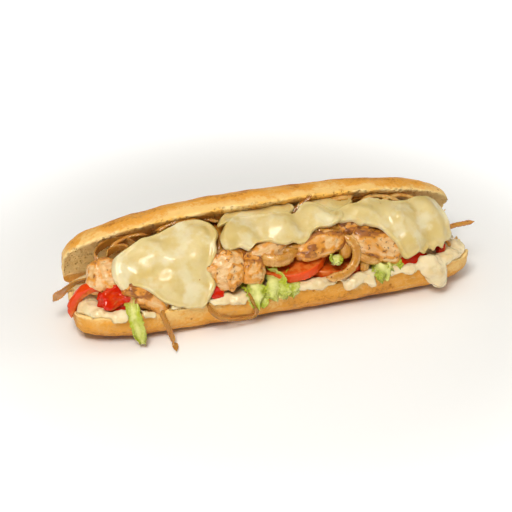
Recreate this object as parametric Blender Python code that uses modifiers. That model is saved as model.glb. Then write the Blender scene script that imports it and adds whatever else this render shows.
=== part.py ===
"""Open submarine sandwich: a hinged long roll filled with white sauce, tomato, lettuce,
fried onion and grilled chicken under melted cheese. Every piece is its own closed solid.

X runs along the roll, -Y is the open front, +Y the hinge side and +Z up.
The origin is the bottom centre of the whole sandwich's box.
"""

import math

import bmesh
import bpy
from mathutils import Euler, Matrix, Vector, noise

MM = 0.001

# Driving dimensions of the roll
ROLL_LENGTH = 300 * MM
LOWER_WIDTH = 70 * MM
LOWER_HEIGHT = 25.5 * MM
LOWER_BLUNTNESS = 5.5
LOWER_SQUARENESS = 3.4
LID_WIDTH = 65 * MM
LID_HEIGHT = 25 * MM
LID_BLUNTNESS = 4.2
LID_SQUARENESS = 2.5
LID_BOW = 16 * MM
LID_ANGLE = math.radians(64)
LID_CENTRE = (0.0, 18 * MM, 48.7 * MM)
BASE_PRESS = 0.8 * MM
CRUMB_DIP = 5 * MM
LID_CUP = 6 * MM

# The filling lies as a mound, round an axis that runs along the roll
MOUND_AXIS_Y = 6 * MM
MOUND_AXIS_Z = 26 * MM
MOUND_REACH_Y = 40 * MM
MOUND_REACH_Z = 41 * MM

# Neighbouring pieces touch face to face, with this gap between the solids
GAP = 0.45 * MM

# Faces that a piece of each kind is thinned out to after it has been cut
FACES = {"bread": 2200, "cheese": 450, "chicken": 235, "onion": 150, "tomato": 240, "lettuce": 180}
# A piece that a cut has left with more faces than that keeps at least this share of them
LEAST_SHARE = 0.55

# The sauce and the core are each remade as one skin: its mesh width, and its faces
SAUCE_SKIN, SAUCE_FACES = 1.2 * MM, 1100
CORE_SKIN, CORE_FACES = 2.2 * MM, 480

COLOURS = {
    "bread": ((0.80, 0.52, 0.22), 0.55),
    "sauce": ((0.90, 0.86, 0.70), 0.25),
    "cheese": ((0.90, 0.78, 0.42), 0.3),
    "chicken": ((0.80, 0.56, 0.34), 0.5),
    "onion": ((0.62, 0.34, 0.12), 0.3),
    "tomato": ((0.75, 0.10, 0.04), 0.2),
    "lettuce": ((0.55, 0.70, 0.16), 0.35),
}

# Grilled chicken: name, centre, size along, across and through, lean, yaw (mm and degrees).
# The lean turns the broad face from straight up (0) to facing the front (90).
CHICKEN = (
    ("chicken_left_end", (-125, -9, 45), (25, 25, 18), 45, 0),
    ("chicken_left_brown", (-105, -25, 39), (25, 12, 11), 65, -22),
    ("chicken_left_low", (-97, -28, 31), (27, 15, 12), 75, -30),
    ("chicken_cheese_bit", (-64, -32, 31), (10, 12, 7), 80, 15),
    ("chicken_centre_big", (-42, -25, 44.5), (27, 29, 20), 65, 10),
    ("chicken_centre_small", (-25, -27, 42), (19, 20, 15), 68, -12),
    ("chicken_mid_white", (-13, -20, 50), (35, 17, 13), 55, 14),
    ("chicken_mid_knob", (-33, -18, 52), (15, 14, 12), 50, 0),
    ("chicken_right_mid", (27, -23, 51), (37, 17, 13), 55, 12),
    ("chicken_right_upper", (56, -14, 55), (28, 17, 13), 45, -12),
    ("chicken_right_big", (71, -24, 45), (47, 22, 14), 60, -20),
)

# Small chunks of tomato and onion, laid out in the same way
TOMATO_CHUNKS = (
    ("tomato_left_chunk", (-120, -21, 34), (24, 15, 12), 60, 10),
    ("tomato_left_bit", (-121, -24, 27.5), (15, 8, 5), 50, 5),
    ("tomato_centre_bit", (-52, -30, 31), (12, 9, 9), 70, -20),
    ("tomato_right_chunk", (96, -27, 30), (27, 12, 10), 65, 5),
    ("tomato_far_right_bit", (124, -22, 31), (6, 9, 8), 60, 0),
)
ONION_CHUNKS = (
    ("onion_pink_left", (-107, -24, 34), (17, 13, 8), 60, -20),
    ("onion_lump_mid", (5, -22, 49), (13, 9, 8), 55, -15),
    ("onion_lump_ring", (46, -26, 45), (9, 12, 8), 65, 0),
    ("onion_lump_low", (60, -29, 32), (8, 9, 7), 70, 0),
)

# Tomato slices: name, centre, radius, thickness, tip to the front and tip to the right
TOMATO_SLICES = (
    ("tomato_slice_right", (41, -5, 32), 29, 6.5, 5, 0),
    ("tomato_slice_mid", (9, -4, 38.5), 31, 7.5, 8, -8),
)

# Strands: name, material, width, thickness, twist in degrees, route
STRANDS = (
    ("tomato_left_rim", "tomato", 9, 6.5, 20,
     ((-151, -13, 17), (-149, -12, 27), (-143, -12, 36), (-134, -14, 41), (-124, -19, 41), (-113, -22, 38))),
    ("onion_hanging_left", "onion", 3.4, 1.6, 0,
     ((-91, -30, 27), (-90, -35, 20), (-88, -36, 12), (-86, -36, 5), (-85, -42, 1.4), (-86, -50, 1.3))),
    ("onion_loop_front", "onion", 3.4, 1.5, 0,
     ((-59, -34, 25), (-57, -36, 20), (-50, -36.5, 13), (-40, -35, 8.5), (-29, -33.5, 7),
      (-24, -34.5, 10), (-25, -36, 18), (-29, -34.5, 26), (-31, -31, 31))),
    ("onion_lid_middle", "onion", 4.6, 1.8, 30,
     ((9, 2, 64), (17, 4, 68.5), (24, 5, 73), (31, 5, 77))),
    ("onion_tip_right", "onion", 4.0, 1.8, 0,
     ((126, -12, 36), (134, -10, 39.5), (142, -9, 41.5), (150, -8.5, 41.5), (158, -8, 41))),
    ("onion_far_left", "onion", 7.0, 1.8, 40,
     ((-134, 14, 31), (-142, 13, 31), (-149, 12, 28), (-155, 9, 25), (-161, 8, 20))),
    ("onion_lid_left", "onion", 6.0, 2.0, 30,
     ((-84, 8, 66), (-75, 9, 69.5), (-65, 9, 71), (-54, 8, 71))),
    ("onion_strand_right", "onion", 4.6, 2.4, 0,
     ((24, -16, 60.5), (32, -18, 59.5), (40, -21, 57), (45, -23, 54))),
    ("onion_lid_pale_a", "onion", 6.0, 1.6, 35,
     ((32, 9, 67), (42, 8, 70.5), (53, 8, 72), (64, 9, 71))),
    ("onion_slice_right", "onion", 5.6, 3.0, 0,
     ((53, -26, 46), (56, -30, 41.5), (62, -32, 38), (70, -31, 35.5), (76, -28, 34.5))),
)

# Onion rings: name, centre, radii, start and end angle, band, wall, lean, yaw
RINGS = (
    ("onion_cup_outer", (-114, 0, 55), (15.5, 14), -10, 200, 7.5, 2.4, 16, 8),
    ("onion_cup_inner", (-113, -3, 55.5), (9, 8.5), -140, 165, 6.5, 2.4, 14, 10),
    ("onion_ring_mid", (-5, -20.5, 46), (13, 10.5), 185, 358, 9, 4.2, -14, 12),
    ("onion_ring_right", (35, -31, 45.5), (18, 15.5), -112, 55, 4.2, 6.5, 62, 0),
)

# Lettuce shreds: name, width, wave height, waves, route
SHREDS = (
    ("lettuce_left_strip", 10, 1.3, 3,
     ((-113, -20, 31), (-112, -28, 31), (-111, -34, 26), (-109.5, -36.5, 17), (-108, -37.5, 9), (-107, -39, 2.6))),
    ("lettuce_mid_a", 12, 1.6, 2,
     ((-26, -22, 33), (-25, -30, 34), (-23.5, -35.5, 29), (-22, -37, 21), (-21.5, -37, 16))),
    ("lettuce_mid_b", 14, 1.8, 3,
     ((-11, -22, 31), (-10, -31, 32), (-8.5, -36, 27.5), (-7.5, -37, 22))),
    ("lettuce_mid_c", 12, 1.8, 2,
     ((2, -22, 29), (1, -31, 30), (0.5, -35.5, 26), (0.5, -36.5, 21.5))),
    ("lettuce_right_a", 10, 1.5, 3,
     ((70, -18, 31), (71, -27, 32), (72, -33, 30), (73, -35, 25), (73.5, -35.5, 21))),
    ("lettuce_right_b", 8, 1.3, 2,
     ((80, -18, 30), (81, -26, 32), (82, -32, 30.5), (83, -34, 27))),
    ("lettuce_gap", 7, 1.2, 2,
     ((40, -21, 41), (38.5, -27, 42.5), (37, -31, 42), (34, -35, 39))),
)
SHRED_THICKNESS = 0.9

# Melted cheese: name, centre (x, angle round the mound), thickness, lift, outline of (x, angle)
CHEESE = (
    ("cheese_left", (-82, 48), 5.0, 1.5,
     ((-44, 71), (-46, 80), (-50, 86), (-58, 88), (-65, 87), (-74, 83), (-83, 80), (-92, 78), (-100, 75), (-108, 70),
      (-114, 67), (-119, 63), (-121, 56), (-122, 47), (-121, 38), (-119, 31), (-117, 26), (-113, 28), (-109, 28),
      (-105, 26), (-101, 23), (-97, 18), (-93, 12), (-89, 7), (-84, 4), (-80, 1), (-76, 0), (-72, -3), (-66, -3),
      (-62, -4), (-58, 4), (-54, 12), (-52, 19), (-54, 28), (-52, 38), (-48, 48), (-47, 57), (-44, 64))),
    ("cheese_mid", (-4, 62), 5.0, 2.0,
     ((45, 68), (41, 73), (37, 78), (33, 84), (26, 86), (19, 81), (14, 77), (8, 79), (2, 80), (-5, 78), (-13, 82),
      (-20, 85), (-27, 84), (-33, 79), (-39, 71), (-44, 60), (-44, 51), (-41, 46), (-37, 47), (-31, 48), (-26, 44),
      (-21, 49), (-16, 51), (-10, 50), (-4, 46), (2, 44), (8, 45), (14, 42), (20, 46), (24, 53), (30, 56), (36, 56),
      (42, 61))),
    ("cheese_right", (100, 62), 5.5, 2.0,
     ((133, 50), (132, 64), (130, 76), (125, 85), (114, 83), (102, 77), (94, 74), (85, 78), (75, 81), (66, 79),
      (57, 76), (50, 72), (44, 69), (42, 62), (47, 59), (54, 57), (59, 52), (64, 52), (68, 49), (72, 47), (76, 42),
      (79, 36), (83, 30), (85, 24), (88, 15), (92, 11), (97, 14), (101, 17), (106, 13), (110, 18), (114, 14),
      (118, 19), (122, 15), (125, 23), (130, 24), (133, 32), (132, 40))),
    ("cheese_back", (-8, 92), 3.0, 1.5,
     ((14, 94), (10, 102), (0, 106), (-12, 106), (-22, 104), (-30, 98), (-36, 88), (-41, 78), (-34, 80), (-26, 88),
      (-16, 86), (-4, 82), (8, 84))),
    ("cheese_back_right", (40, 90), 3.0, 1.5,
     ((58, 90), (54, 99), (44, 105), (34, 103), (27, 97), (22, 90), (28, 88), (36, 84), (43, 77), (52, 80))),
)

# Where a sheet rises over what it covers, or sags between: x, angle, spread along, spread round, height
CHEESE_SWELLS = (
    (-65, 62, 18, 18, 1.5), (-88, 39, 8, 11, -1.6), (-98, 58, 14, 12, 1.0), (-62, 12, 9, 10, 1.2),
    (-30, 64, 12, 12, 2.6), (-15, 66, 5, 12, -1.8), (2, 60, 14, 10, 2.6), (15, 66, 5, 10, -1.6), (27, 72, 9, 10, 2.4),
    (62, 65, 14, 8, 1.6), (80, 58, 6, 12, -1.2), (106, 58, 18, 14, 1.8), (94, 26, 8, 10, 1.6), (112, 34, 8, 12, -1.0),
)

# Sauce: dollops and drips over the front lip as centre and size, added to the bed
SAUCE_BED_RISE = 4.2 * MM
SAUCE_LUMPS = (
    ((-139, -11, 26), (16, 20, 10)),
    ((-146, -10, 23), (10, 16, 10)),
    ((-132, -23, 25), (20, 16, 9)),
    ((-118, -31, 24), (22, 12, 8)),
    ((-100, -33, 24), (20, 9, 7)),
    ((-50, -34, 26), (16, 9, 7)),
    ((-38, -35, 24.5), (13, 8, 8)),
    ((-33, -36, 23), (7, 6, 6)),
    ((13, -34, 26), (18, 9, 6)),
    ((25, -35, 25), (13, 8, 7)),
    ((46, -36, 22), (8, 7, 8)),
    ((53, -35.5, 24.5), (14, 8, 7)),
    ((62, -37, 22.5), (7, 7, 7)),
    ((64, -37.5, 20), (5, 5, 6)),
    ((80, -34, 26), (16, 9, 6)),
    ((93, -34, 26), (14, 10, 8)),
    ((108, -33, 28), (18, 13, 12)),
    ((112, -36, 23), (19, 11, 13)),
    ((115, -37, 18), (17, 10, 12)),
    ((117, -36.5, 13.5), (13, 9, 10)),
    ((119, -35.5, 10.5), (10, 8, 7)),
    ((126, -27, 27), (18, 14, 10)),
    ((137, -17, 27), (18, 20, 10)),
)

# Between them a thin bead of sauce follows the lip, its lumps this far apart
BEAD_FROM, BEAD_TO, BEAD_STEP = -136, 136, 5

CORE_SIZE = (230, 46, 36)
CORE_CENTRE = (7, 6, 43)


def millimetres(values):
    return Vector(values) * MM


def signed_power(value, power):
    return math.copysign(abs(value) ** power, value)


def make_materials():
    made = {}
    for name, (colour, roughness) in COLOURS.items():
        material = bpy.data.materials.new(name)
        material.use_nodes = True
        shader = material.node_tree.nodes["Principled BSDF"]
        shader.inputs["Base Color"].default_value = (*colour, 1.0)
        shader.inputs["Roughness"].default_value = roughness
        shader.inputs["Metallic"].default_value = 0.0
        made[name] = material
    return made


def add_object(name, mesh, material, collection):
    mesh.name = name
    mesh.materials.clear()
    mesh.materials.append(material)
    mesh.shade_smooth()
    made = bpy.data.objects.new(name, mesh)
    collection.objects.link(made)
    return made


def mesh_from(bm):
    bmesh.ops.recalc_face_normals(bm, faces=bm.faces)
    if bm.calc_volume(signed=True) < 0:
        bmesh.ops.reverse_faces(bm, faces=bm.faces)
    bmesh.ops.triangulate(bm, faces=bm.faces)
    mesh = bpy.data.meshes.new("piece")
    bm.to_mesh(mesh)
    bm.free()
    return mesh


def unit_sphere(around, stations):
    """A sphere whose poles lie on X, so that its rings are stations along X."""
    bm = bmesh.new()
    bmesh.ops.create_uvsphere(bm, u_segments=around, v_segments=stations, radius=1.0)
    bmesh.ops.rotate(bm, verts=bm.verts, matrix=Matrix.Rotation(math.pi / 2, 3, "Y"))
    return bm


def end_taper(station, bluntness):
    """How wide a long blunt roll is at a station from -1 to 1, as a share of its full width."""
    return max(0.0, 1 - abs(station) ** bluntness) ** (1 / bluntness)


def half_roll(width, height, bluntness, squareness, dip, seed):
    """Half a roll, crust down: the upper half of a sphere is pressed flat into the cut face."""
    bm = unit_sphere(24, 22)
    for vertex in bm.verts:
        station, across, up = vertex.co
        angle = math.atan2(up, across)
        taper = end_taper(min(1.0, abs(station)), bluntness)
        along, rise = math.cos(angle), math.sin(angle)
        if rise < -0.01:
            reach = (abs(along) ** squareness + abs(rise) ** squareness) ** (-1 / squareness)
            place = Vector((0, along * reach * width / 2, rise * reach * height)) * taper
            uneven = noise.noise(Vector((station * 7, across * 2, up * 2 + seed)))
            place *= 1 + 0.03 * uneven
        else:
            hollow = dip * (1 - along * along) * min(1.0, 1.6 * taper)
            place = Vector((0, along * width / 2 * taper, -hollow))
        vertex.co = Vector((station * ROLL_LENGTH / 2, place.y, place.z))
    return mesh_from(bm)


def apply_modifiers(obj):
    """The object's mesh as its modifiers leave it."""
    graph = bpy.context.evaluated_depsgraph_get()
    mesh = bpy.data.meshes.new_from_object(obj.evaluated_get(graph))
    obj.modifiers.clear()
    old = obj.data
    obj.data = mesh
    bpy.data.meshes.remove(old)


def boolean(obj, other, operation, solver="EXACT"):
    modifier = obj.modifiers.new(operation.lower(), "BOOLEAN")
    modifier.operation = operation
    modifier.solver = solver
    modifier.object = other


def make_roll(materials, collection):
    """The lower half and the lid, joined along the uncut back edge."""
    lower_mesh = half_roll(LOWER_WIDTH, LOWER_HEIGHT, LOWER_BLUNTNESS, LOWER_SQUARENESS, CRUMB_DIP, 3.1)
    lower = add_object("bread_roll", lower_mesh, materials["bread"], collection)
    lower.data.transform(Matrix.Translation((0, 0, LOWER_HEIGHT)))
    lid_mesh = half_roll(LID_WIDTH, LID_HEIGHT, LID_BLUNTNESS, LID_SQUARENESS, LID_CUP, 8.4)
    for vertex in lid_mesh.vertices:
        vertex.co.y -= LID_BOW * (vertex.co.x / (ROLL_LENGTH / 2)) ** 2
    turn = Matrix.Rotation(math.pi - LID_ANGLE, 4, "X")
    lid_mesh.transform(Matrix.Translation(LID_CENTRE) @ turn)
    lid = add_object("lid", lid_mesh, materials["bread"], collection)
    boolean(lower, lid, "UNION")
    apply_modifiers(lower)
    bpy.data.objects.remove(lid)
    flatten_base(lower, BASE_PRESS)
    return lower


def flatten_base(obj, rise):
    """Presses the roll's lowest part flat, where it rests."""
    for vertex in obj.data.vertices:
        vertex.co.z = max(vertex.co.z, rise)
    obj.data.transform(Matrix.Translation((0, 0, -rise)))


def placing(centre, lean, yaw):
    """Moves a piece from the origin to its place: yaw in its own plane, then lean to the front."""
    turn = Matrix.Rotation(math.radians(lean), 4, "X") @ Matrix.Rotation(math.radians(yaw), 4, "Z")
    return Matrix.Translation(millimetres(centre)) @ turn


def chunk_mesh(size, seed, boxiness=3.0, unevenness=0.13, around=12, stations=9):
    """A rounded, uneven block, such as a torn piece of chicken."""
    bm = unit_sphere(around, stations)
    for vertex in bm.verts:
        direction = vertex.co.normalized()
        reach = sum(abs(part) ** boxiness for part in direction) ** (-1 / boxiness)
        reach *= 1 + unevenness * noise.noise(direction * 1.7 + Vector((seed, 0, 0)))
        reach *= 1 + 0.5 * unevenness * noise.noise(direction * 4.0 + Vector((0, seed, 0)))
        vertex.co = Vector(direction[i] * reach * size[i] * MM / 2 for i in range(3))
    return mesh_from(bm)


def make_chunks(rows, material, collection, first_seed, **shape):
    made = []
    for number, (name, centre, size, lean, yaw) in enumerate(rows):
        mesh = chunk_mesh(size, first_seed + 2.37 * number, **shape)
        mesh.transform(placing(centre, lean, yaw))
        made.append(add_object(name, mesh, material, collection))
    return made


def make_slices(material, collection):
    """Round tomato slices with a softened skin edge."""
    made = []
    for name, centre, radius, thickness, to_front, to_right in TOMATO_SLICES:
        bm = bmesh.new()
        bmesh.ops.create_cone(bm, cap_ends=True, segments=26, radius1=radius * MM,
                              radius2=radius * MM, depth=thickness * MM)
        for vertex in bm.verts:
            angle = math.atan2(vertex.co.y, vertex.co.x)
            vertex.co.xy *= 1 + 0.03 * math.sin(3 * angle + radius)
        mesh = mesh_from(bm)
        turn = Euler((math.radians(to_front), math.radians(to_right), 0)).to_matrix().to_4x4()
        mesh.transform(Matrix.Translation(millimetres(centre)) @ turn)
        piece = add_object(name, mesh, material, collection)
        bevel = piece.modifiers.new("skin_edge", "BEVEL")
        bevel.width = 1.4 * MM
        bevel.segments = 2
        bevel.angle_limit = math.radians(50)
        apply_modifiers(piece)
        made.append(piece)
    return made


def smooth_route(route, count):
    """Even steps along a curve through the route's points, each with its direction."""
    knots = [millimetres(place) for place in route]
    knots = [2 * knots[0] - knots[1], *knots, 2 * knots[-1] - knots[-2]]
    places = []
    for step in range(count):
        position = step / (count - 1) * (len(route) - 1)
        index = min(int(position), len(route) - 2)
        t = position - index
        a, b, c, d = knots[index:index + 4]
        place = 0.5 * (2 * b + (c - a) * t + (2 * a - 5 * b + 4 * c - d) * t * t + (3 * b - a - 3 * c + d) * t ** 3)
        slope = 0.5 * ((c - a) + 2 * (2 * a - 5 * b + 4 * c - d) * t + 3 * (3 * b - a - 3 * c + d) * t * t)
        places.append((place, slope.normalized()))
    return places


def out_of_mound(place):
    """The direction away from the filling's long axis."""
    return Vector((0, place.y - MOUND_AXIS_Y, place.z - MOUND_AXIS_Z)).normalized()


def strand_mesh(route, width, thickness, twist, facing=out_of_mound, stations=11, sides=6):
    """A flat strand: a sphere drawn out along a route, its broad face turned to the facing."""
    bm = unit_sphere(sides, stations)
    along = sorted({round(vertex.co.x, 4) for vertex in bm.verts})
    places = smooth_route(route, len(along))
    for vertex in bm.verts:
        number = along.index(round(vertex.co.x, 4))
        place, forward = places[number]
        side = facing(place).cross(forward).normalized()
        normal = forward.cross(side)
        turn = math.atan2(vertex.co.z, vertex.co.y) + math.pi / sides
        share = number / (len(along) - 1)
        body = (1 - abs(2 * share - 1) ** 5) ** 0.5
        body *= 1 + 0.14 * noise.noise(Vector((share * 5, width, route[0][0])))
        reach = side * math.cos(turn) * width / 2 + normal * math.sin(turn) * thickness / 2
        vertex.co = place + Matrix.Rotation(math.radians(twist), 3, forward) @ reach * MM * body
    return mesh_from(bm)


def make_strands(materials, collection):
    made = []
    for name, material, width, thickness, twist, route in STRANDS:
        mesh = strand_mesh(route, width, thickness, twist)
        made.append(add_object(name, mesh, materials[material], collection))
    return made


def make_rings(material, collection):
    """Parts of onion rings: an arc in the XY plane whose band stands on Z, then placed."""
    made = []
    for name, centre, (reach_x, reach_y), start, end, band, wall, lean, yaw in RINGS:
        route = []
        for index in range(9):
            angle = math.radians(start + (end - start) * index / 8)
            route.append((reach_x * math.cos(angle), reach_y * math.sin(angle), 0.8 * math.sin(2.3 * angle)))
        mesh = strand_mesh(route, band, wall, 0, facing=lambda place: place.normalized(), stations=14)
        mesh.transform(placing(centre, lean, yaw))
        made.append(add_object(name, mesh, material, collection))
    return made


def make_shreds(material, collection):
    """Lettuce shreds: wavy strips of even thickness, hung over the front lip."""
    made = []
    for name, width, wave, waves, route in SHREDS:
        steps = 3 * (len(route) - 1) + 1
        lanes = 3
        places = smooth_route(route, steps)
        bm = bmesh.new()
        bmesh.ops.create_grid(bm, x_segments=steps - 1, y_segments=lanes, size=1.0)
        for vertex in bm.verts:
            along = round((vertex.co.x + 1) / 2 * (steps - 1))
            across = vertex.co.y
            place, forward = places[along]
            side = Vector((1, 0, 0))
            normal = side.cross(forward).normalized()
            share = along / (steps - 1)
            edge = width * MM / 2 * (0.72 + 0.28 * math.sin(math.pi * min(1.0, 0.15 + share)))
            edge *= 1 + 0.12 * math.sin(9 * share + 5 * across)
            ripple = wave * MM * math.sin(2 * math.pi * waves * share + 2.4 * across) * abs(across)
            curl = 0.8 * MM * across * across
            vertex.co = place + side * across * edge + normal * (ripple - curl)
        mesh = mesh_from(bm)
        piece = add_object(name, mesh, material, collection)
        solid = piece.modifiers.new("leaf", "SOLIDIFY")
        solid.thickness = SHRED_THICKNESS * MM
        solid.offset = 0.0
        solid.use_even_offset = True
        apply_modifiers(piece)
        made.append(piece)
    return made


def on_mound(x, angle, lift):
    """A point over the filling: x along the roll, angle round the mound from the front (0) to the top (90)."""
    station = min(0.98, abs(x) / (ROLL_LENGTH / 2))
    narrow = (1 - station ** 4) ** 0.35
    low = (1 - station ** 5) ** 0.5
    turn = math.radians(angle)
    y = narrow * (MOUND_AXIS_Y - (MOUND_REACH_Y + lift) * math.cos(turn))
    z = MOUND_AXIS_Z + low * (MOUND_REACH_Z + lift) * math.sin(turn)
    return Vector((x, y, z))


def closed_outline(points, share):
    """The point at a share of the way round a smooth closed curve through the points."""
    count = len(points)
    position = share * count
    index = int(position) % count
    t = position - int(position)
    a, b, c, d = (Vector(points[(index + step) % count]) for step in (-1, 0, 1, 2))
    return 0.5 * (2 * b + (c - a) * t + (2 * a - 5 * b + 4 * c - d) * t * t + (3 * b - a - 3 * c + d) * t ** 3)


def swell(x, angle):
    """How far the cheese rises or sags at a place on the mound."""
    total = 0.0
    for at_x, at_angle, along, round_mound, height in CHEESE_SWELLS:
        total += height * math.exp(-((x - at_x) / along) ** 2 - ((angle - at_angle) / round_mound) ** 2)
    return total * MM


def cheese_mesh(centre, thickness, lift, outline, seed, around, rings=8):
    """A melted slice: a flat pillow whose rim follows the outline, laid over the mound."""
    bm = bmesh.new()
    bmesh.ops.create_uvsphere(bm, u_segments=around, v_segments=rings, radius=1.0)
    middle = Vector(centre)
    for vertex in bm.verts:
        flat = Vector((vertex.co.x, vertex.co.y))
        out = min(1.0, flat.length)
        share = (math.atan2(flat.y, flat.x) / (2 * math.pi)) % 1.0 if out > 1e-6 else 0.0
        spread = out ** 0.7
        x, angle = middle.lerp(closed_outline(outline, share), spread)
        body = thickness * MM / 2 * signed_power(vertex.co.z, 0.6)
        lumps = 2.2 * MM * noise.noise(Vector((x * 0.06, angle * 0.05, seed)))
        lumps += 1.2 * MM * noise.noise(Vector((x * 0.15, angle * 0.12, seed)))
        vertex.co = on_mound(x * MM, angle, lift * MM + body + lumps + swell(x, angle))
    return mesh_from(bm)


def make_cheese(material, collection):
    made = []
    for number, (name, centre, thickness, lift, outline) in enumerate(CHEESE):
        around = 38 if len(outline) > 20 else 20
        mesh = cheese_mesh(centre, thickness, lift, outline, 4.0 * number, around)
        made.append(add_object(name, mesh, material, collection))
    return made


def lip_bead():
    """Small uneven lumps of sauce along the front lip, as centre and size in millimetres."""
    lumps = []
    for x in range(BEAD_FROM, BEAD_TO + 1, BEAD_STEP):
        uneven = noise.noise(Vector((x * 0.09, 2.5, 0)))
        reach = LOWER_WIDTH / MM / 2 * end_taper(x * MM / (ROLL_LENGTH / 2), LOWER_BLUNTNESS)
        lumps.append(((x, 2.2 - reach - uneven, 25.5), (9, 7 + 2 * uneven, 5.5 + 3 * uneven)))
    return lumps


def make_sauce(material, collection):
    """A bed on the lower cut face, with dollops and drips run together at the front lip."""
    bed = half_roll(LOWER_WIDTH - 3 * MM, LOWER_HEIGHT, LOWER_BLUNTNESS, LOWER_SQUARENESS, CRUMB_DIP, 5.0)
    for vertex in bed.vertices:
        upper = vertex.normal.z > 0.2
        vertex.co.z = SAUCE_BED_RISE - 3 * MM if upper else max(vertex.co.z, -CRUMB_DIP - 1 * MM)
    bed.transform(Matrix.Translation((0, 0, LOWER_HEIGHT)) @ Matrix.Diagonal((0.965, 1, 1, 1)))
    bm = bmesh.new()
    bm.from_mesh(bed)
    for centre, size in (*SAUCE_LUMPS, *lip_bead()):
        before = len(bm.verts)
        bmesh.ops.create_icosphere(bm, subdivisions=2, radius=0.5)
        bm.verts.ensure_lookup_table()
        for vertex in bm.verts[before:]:
            vertex.co = Vector(vertex.co[i] * size[i] * MM for i in range(3)) + millimetres(centre)
    mesh = bpy.data.meshes.new("sauce")
    bm.to_mesh(mesh)
    bm.free()
    sauce = add_object("white_sauce", mesh, material, collection)
    melt_together(sauce, 1.6 * MM, 4, 8000)
    return sauce


def melt_together(obj, voxel, smoothing, faces):
    """Runs overlapping shapes into one skin, softens it and thins out its faces."""
    remesh = obj.modifiers.new("one_skin", "REMESH")
    remesh.mode = "VOXEL"
    remesh.voxel_size = voxel
    smooth = obj.modifiers.new("soften", "SMOOTH")
    smooth.iterations = smoothing
    apply_modifiers(obj)
    keep_largest(obj)
    thin_out(obj, faces)


def thin_out(obj, faces):
    """Merges faces that a smooth shape doesn't need."""
    if len(obj.data.polygons) <= faces:
        return
    thin = obj.modifiers.new("thin_out", "DECIMATE")
    thin.ratio = faces / len(obj.data.polygons)
    apply_modifiers(obj)


def make_core(material, collection):
    """The packed chicken and onion that the seen pieces lie on."""
    mesh = chunk_mesh(CORE_SIZE, 1.0, boxiness=3.0, unevenness=0.08, around=16, stations=24)
    mesh.transform(Matrix.Translation(millimetres(CORE_CENTRE)))
    return add_object("chicken_heap", mesh, material, collection)


def corners_of(obj):
    places = [vertex.co for vertex in obj.data.vertices]
    low = [min(place[i] for place in places) for i in range(3)]
    high = [max(place[i] for place in places) for i in range(3)]
    return low, high


def boxes_meet(one, other):
    (low_a, high_a), (low_b, high_b) = corners_of(one), corners_of(other)
    return all(low_a[i] < high_b[i] + GAP and low_b[i] < high_a[i] + GAP for i in range(3))


def keep_largest(obj):
    """Drops the loose scraps that a cut leaves."""
    bm = bmesh.new()
    bm.from_mesh(obj.data)
    unseen = set(bm.faces)
    islands = []
    while unseen:
        stack = [unseen.pop()]
        island = set(stack)
        while stack:
            for edge in stack.pop().edges:
                for face in edge.link_faces:
                    if face in unseen:
                        unseen.discard(face)
                        island.add(face)
                        stack.append(face)
        islands.append(island)
    largest = max(islands, key=lambda island: sum(face.calc_area() for face in island), default=())
    scraps = [face for island in islands if island is not largest for face in island]
    bmesh.ops.delete(bm, geom=scraps, context="FACES")
    bmesh.ops.triangulate(bm, faces=bm.faces)
    bm.to_mesh(obj.data)
    bm.free()


def give_way(obj, neighbours, gap=GAP):
    """Cuts a soft piece back from each firmer neighbour, with the gap between them."""
    cutters = []
    for other in neighbours:
        if not boxes_meet(obj, other):
            continue
        cutter = other.copy()
        cutter.data = other.data.copy()
        bpy.context.scene.collection.objects.link(cutter)
        grow = cutter.modifiers.new("grow", "DISPLACE")
        grow.strength = gap
        grow.mid_level = 0.0
        boolean(obj, cutter, "DIFFERENCE", "MANIFOLD")
        cutters.append(cutter)
    if cutters:
        apply_modifiers(obj)
        keep_largest(obj)
    for cutter in cutters:
        bpy.data.objects.remove(cutter)


def stand_on_origin(pieces, collection):
    """Puts the origin at the bottom centre of the box round all pieces, by way of a parent."""
    boxes = [corners_of(piece) for piece in pieces]
    low = [min(box[0][i] for box in boxes) for i in range(3)]
    high = [max(box[1][i] for box in boxes) for i in range(3)]
    whole = bpy.data.objects.new("submarine_sandwich", None)
    whole.location = (-(low[0] + high[0]) / 2, -(low[1] + high[1]) / 2, -low[2])
    collection.objects.link(whole)
    for piece in pieces:
        piece.parent = whole


def main():
    for obj in list(bpy.data.objects):
        bpy.data.objects.remove(obj)
    collection = bpy.data.collections.new("submarine_sandwich")
    bpy.context.scene.collection.children.link(collection)
    materials = make_materials()
    firm = [
        make_roll(materials, collection),
        *make_slices(materials["tomato"], collection),
        *make_chunks(TOMATO_CHUNKS, materials["tomato"], collection, 40.0, around=10, stations=7),
        *make_chunks(ONION_CHUNKS, materials["onion"], collection, 60.0, around=10, stations=7),
        *make_rings(materials["onion"], collection),
        *make_strands(materials, collection),
        *make_chunks(CHICKEN, materials["chicken"], collection, 11.0, boxiness=3.6,
                     unevenness=0.15),
        *make_shreds(materials["lettuce"], collection),
        *make_cheese(materials["cheese"], collection),
    ]
    for number, piece in enumerate(firm):
        give_way(piece, firm[:number])
        faces = FACES[piece.data.materials[0].name]
        thin_out(piece, max(faces, int(LEAST_SHARE * len(piece.data.polygons))))
    sauce = make_sauce(materials["sauce"], collection)
    core = make_core(materials["chicken"], collection)
    for piece, neighbours, skin, faces in (
            (sauce, firm, SAUCE_SKIN, SAUCE_FACES), (core, [*firm, sauce], CORE_SKIN, CORE_FACES)):
        give_way(piece, neighbours, gap=0.8 * skin + GAP)
        melt_together(piece, skin, 1, faces)
    stand_on_origin([*firm, sauce, core], collection)


main()
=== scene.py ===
"""Dresses an open submarine sandwich: baked roll, melted cheese, grilled chicken, fried onion,
tomato, lettuce and white sauce, on a pale floor in soft studio light."""

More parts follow.
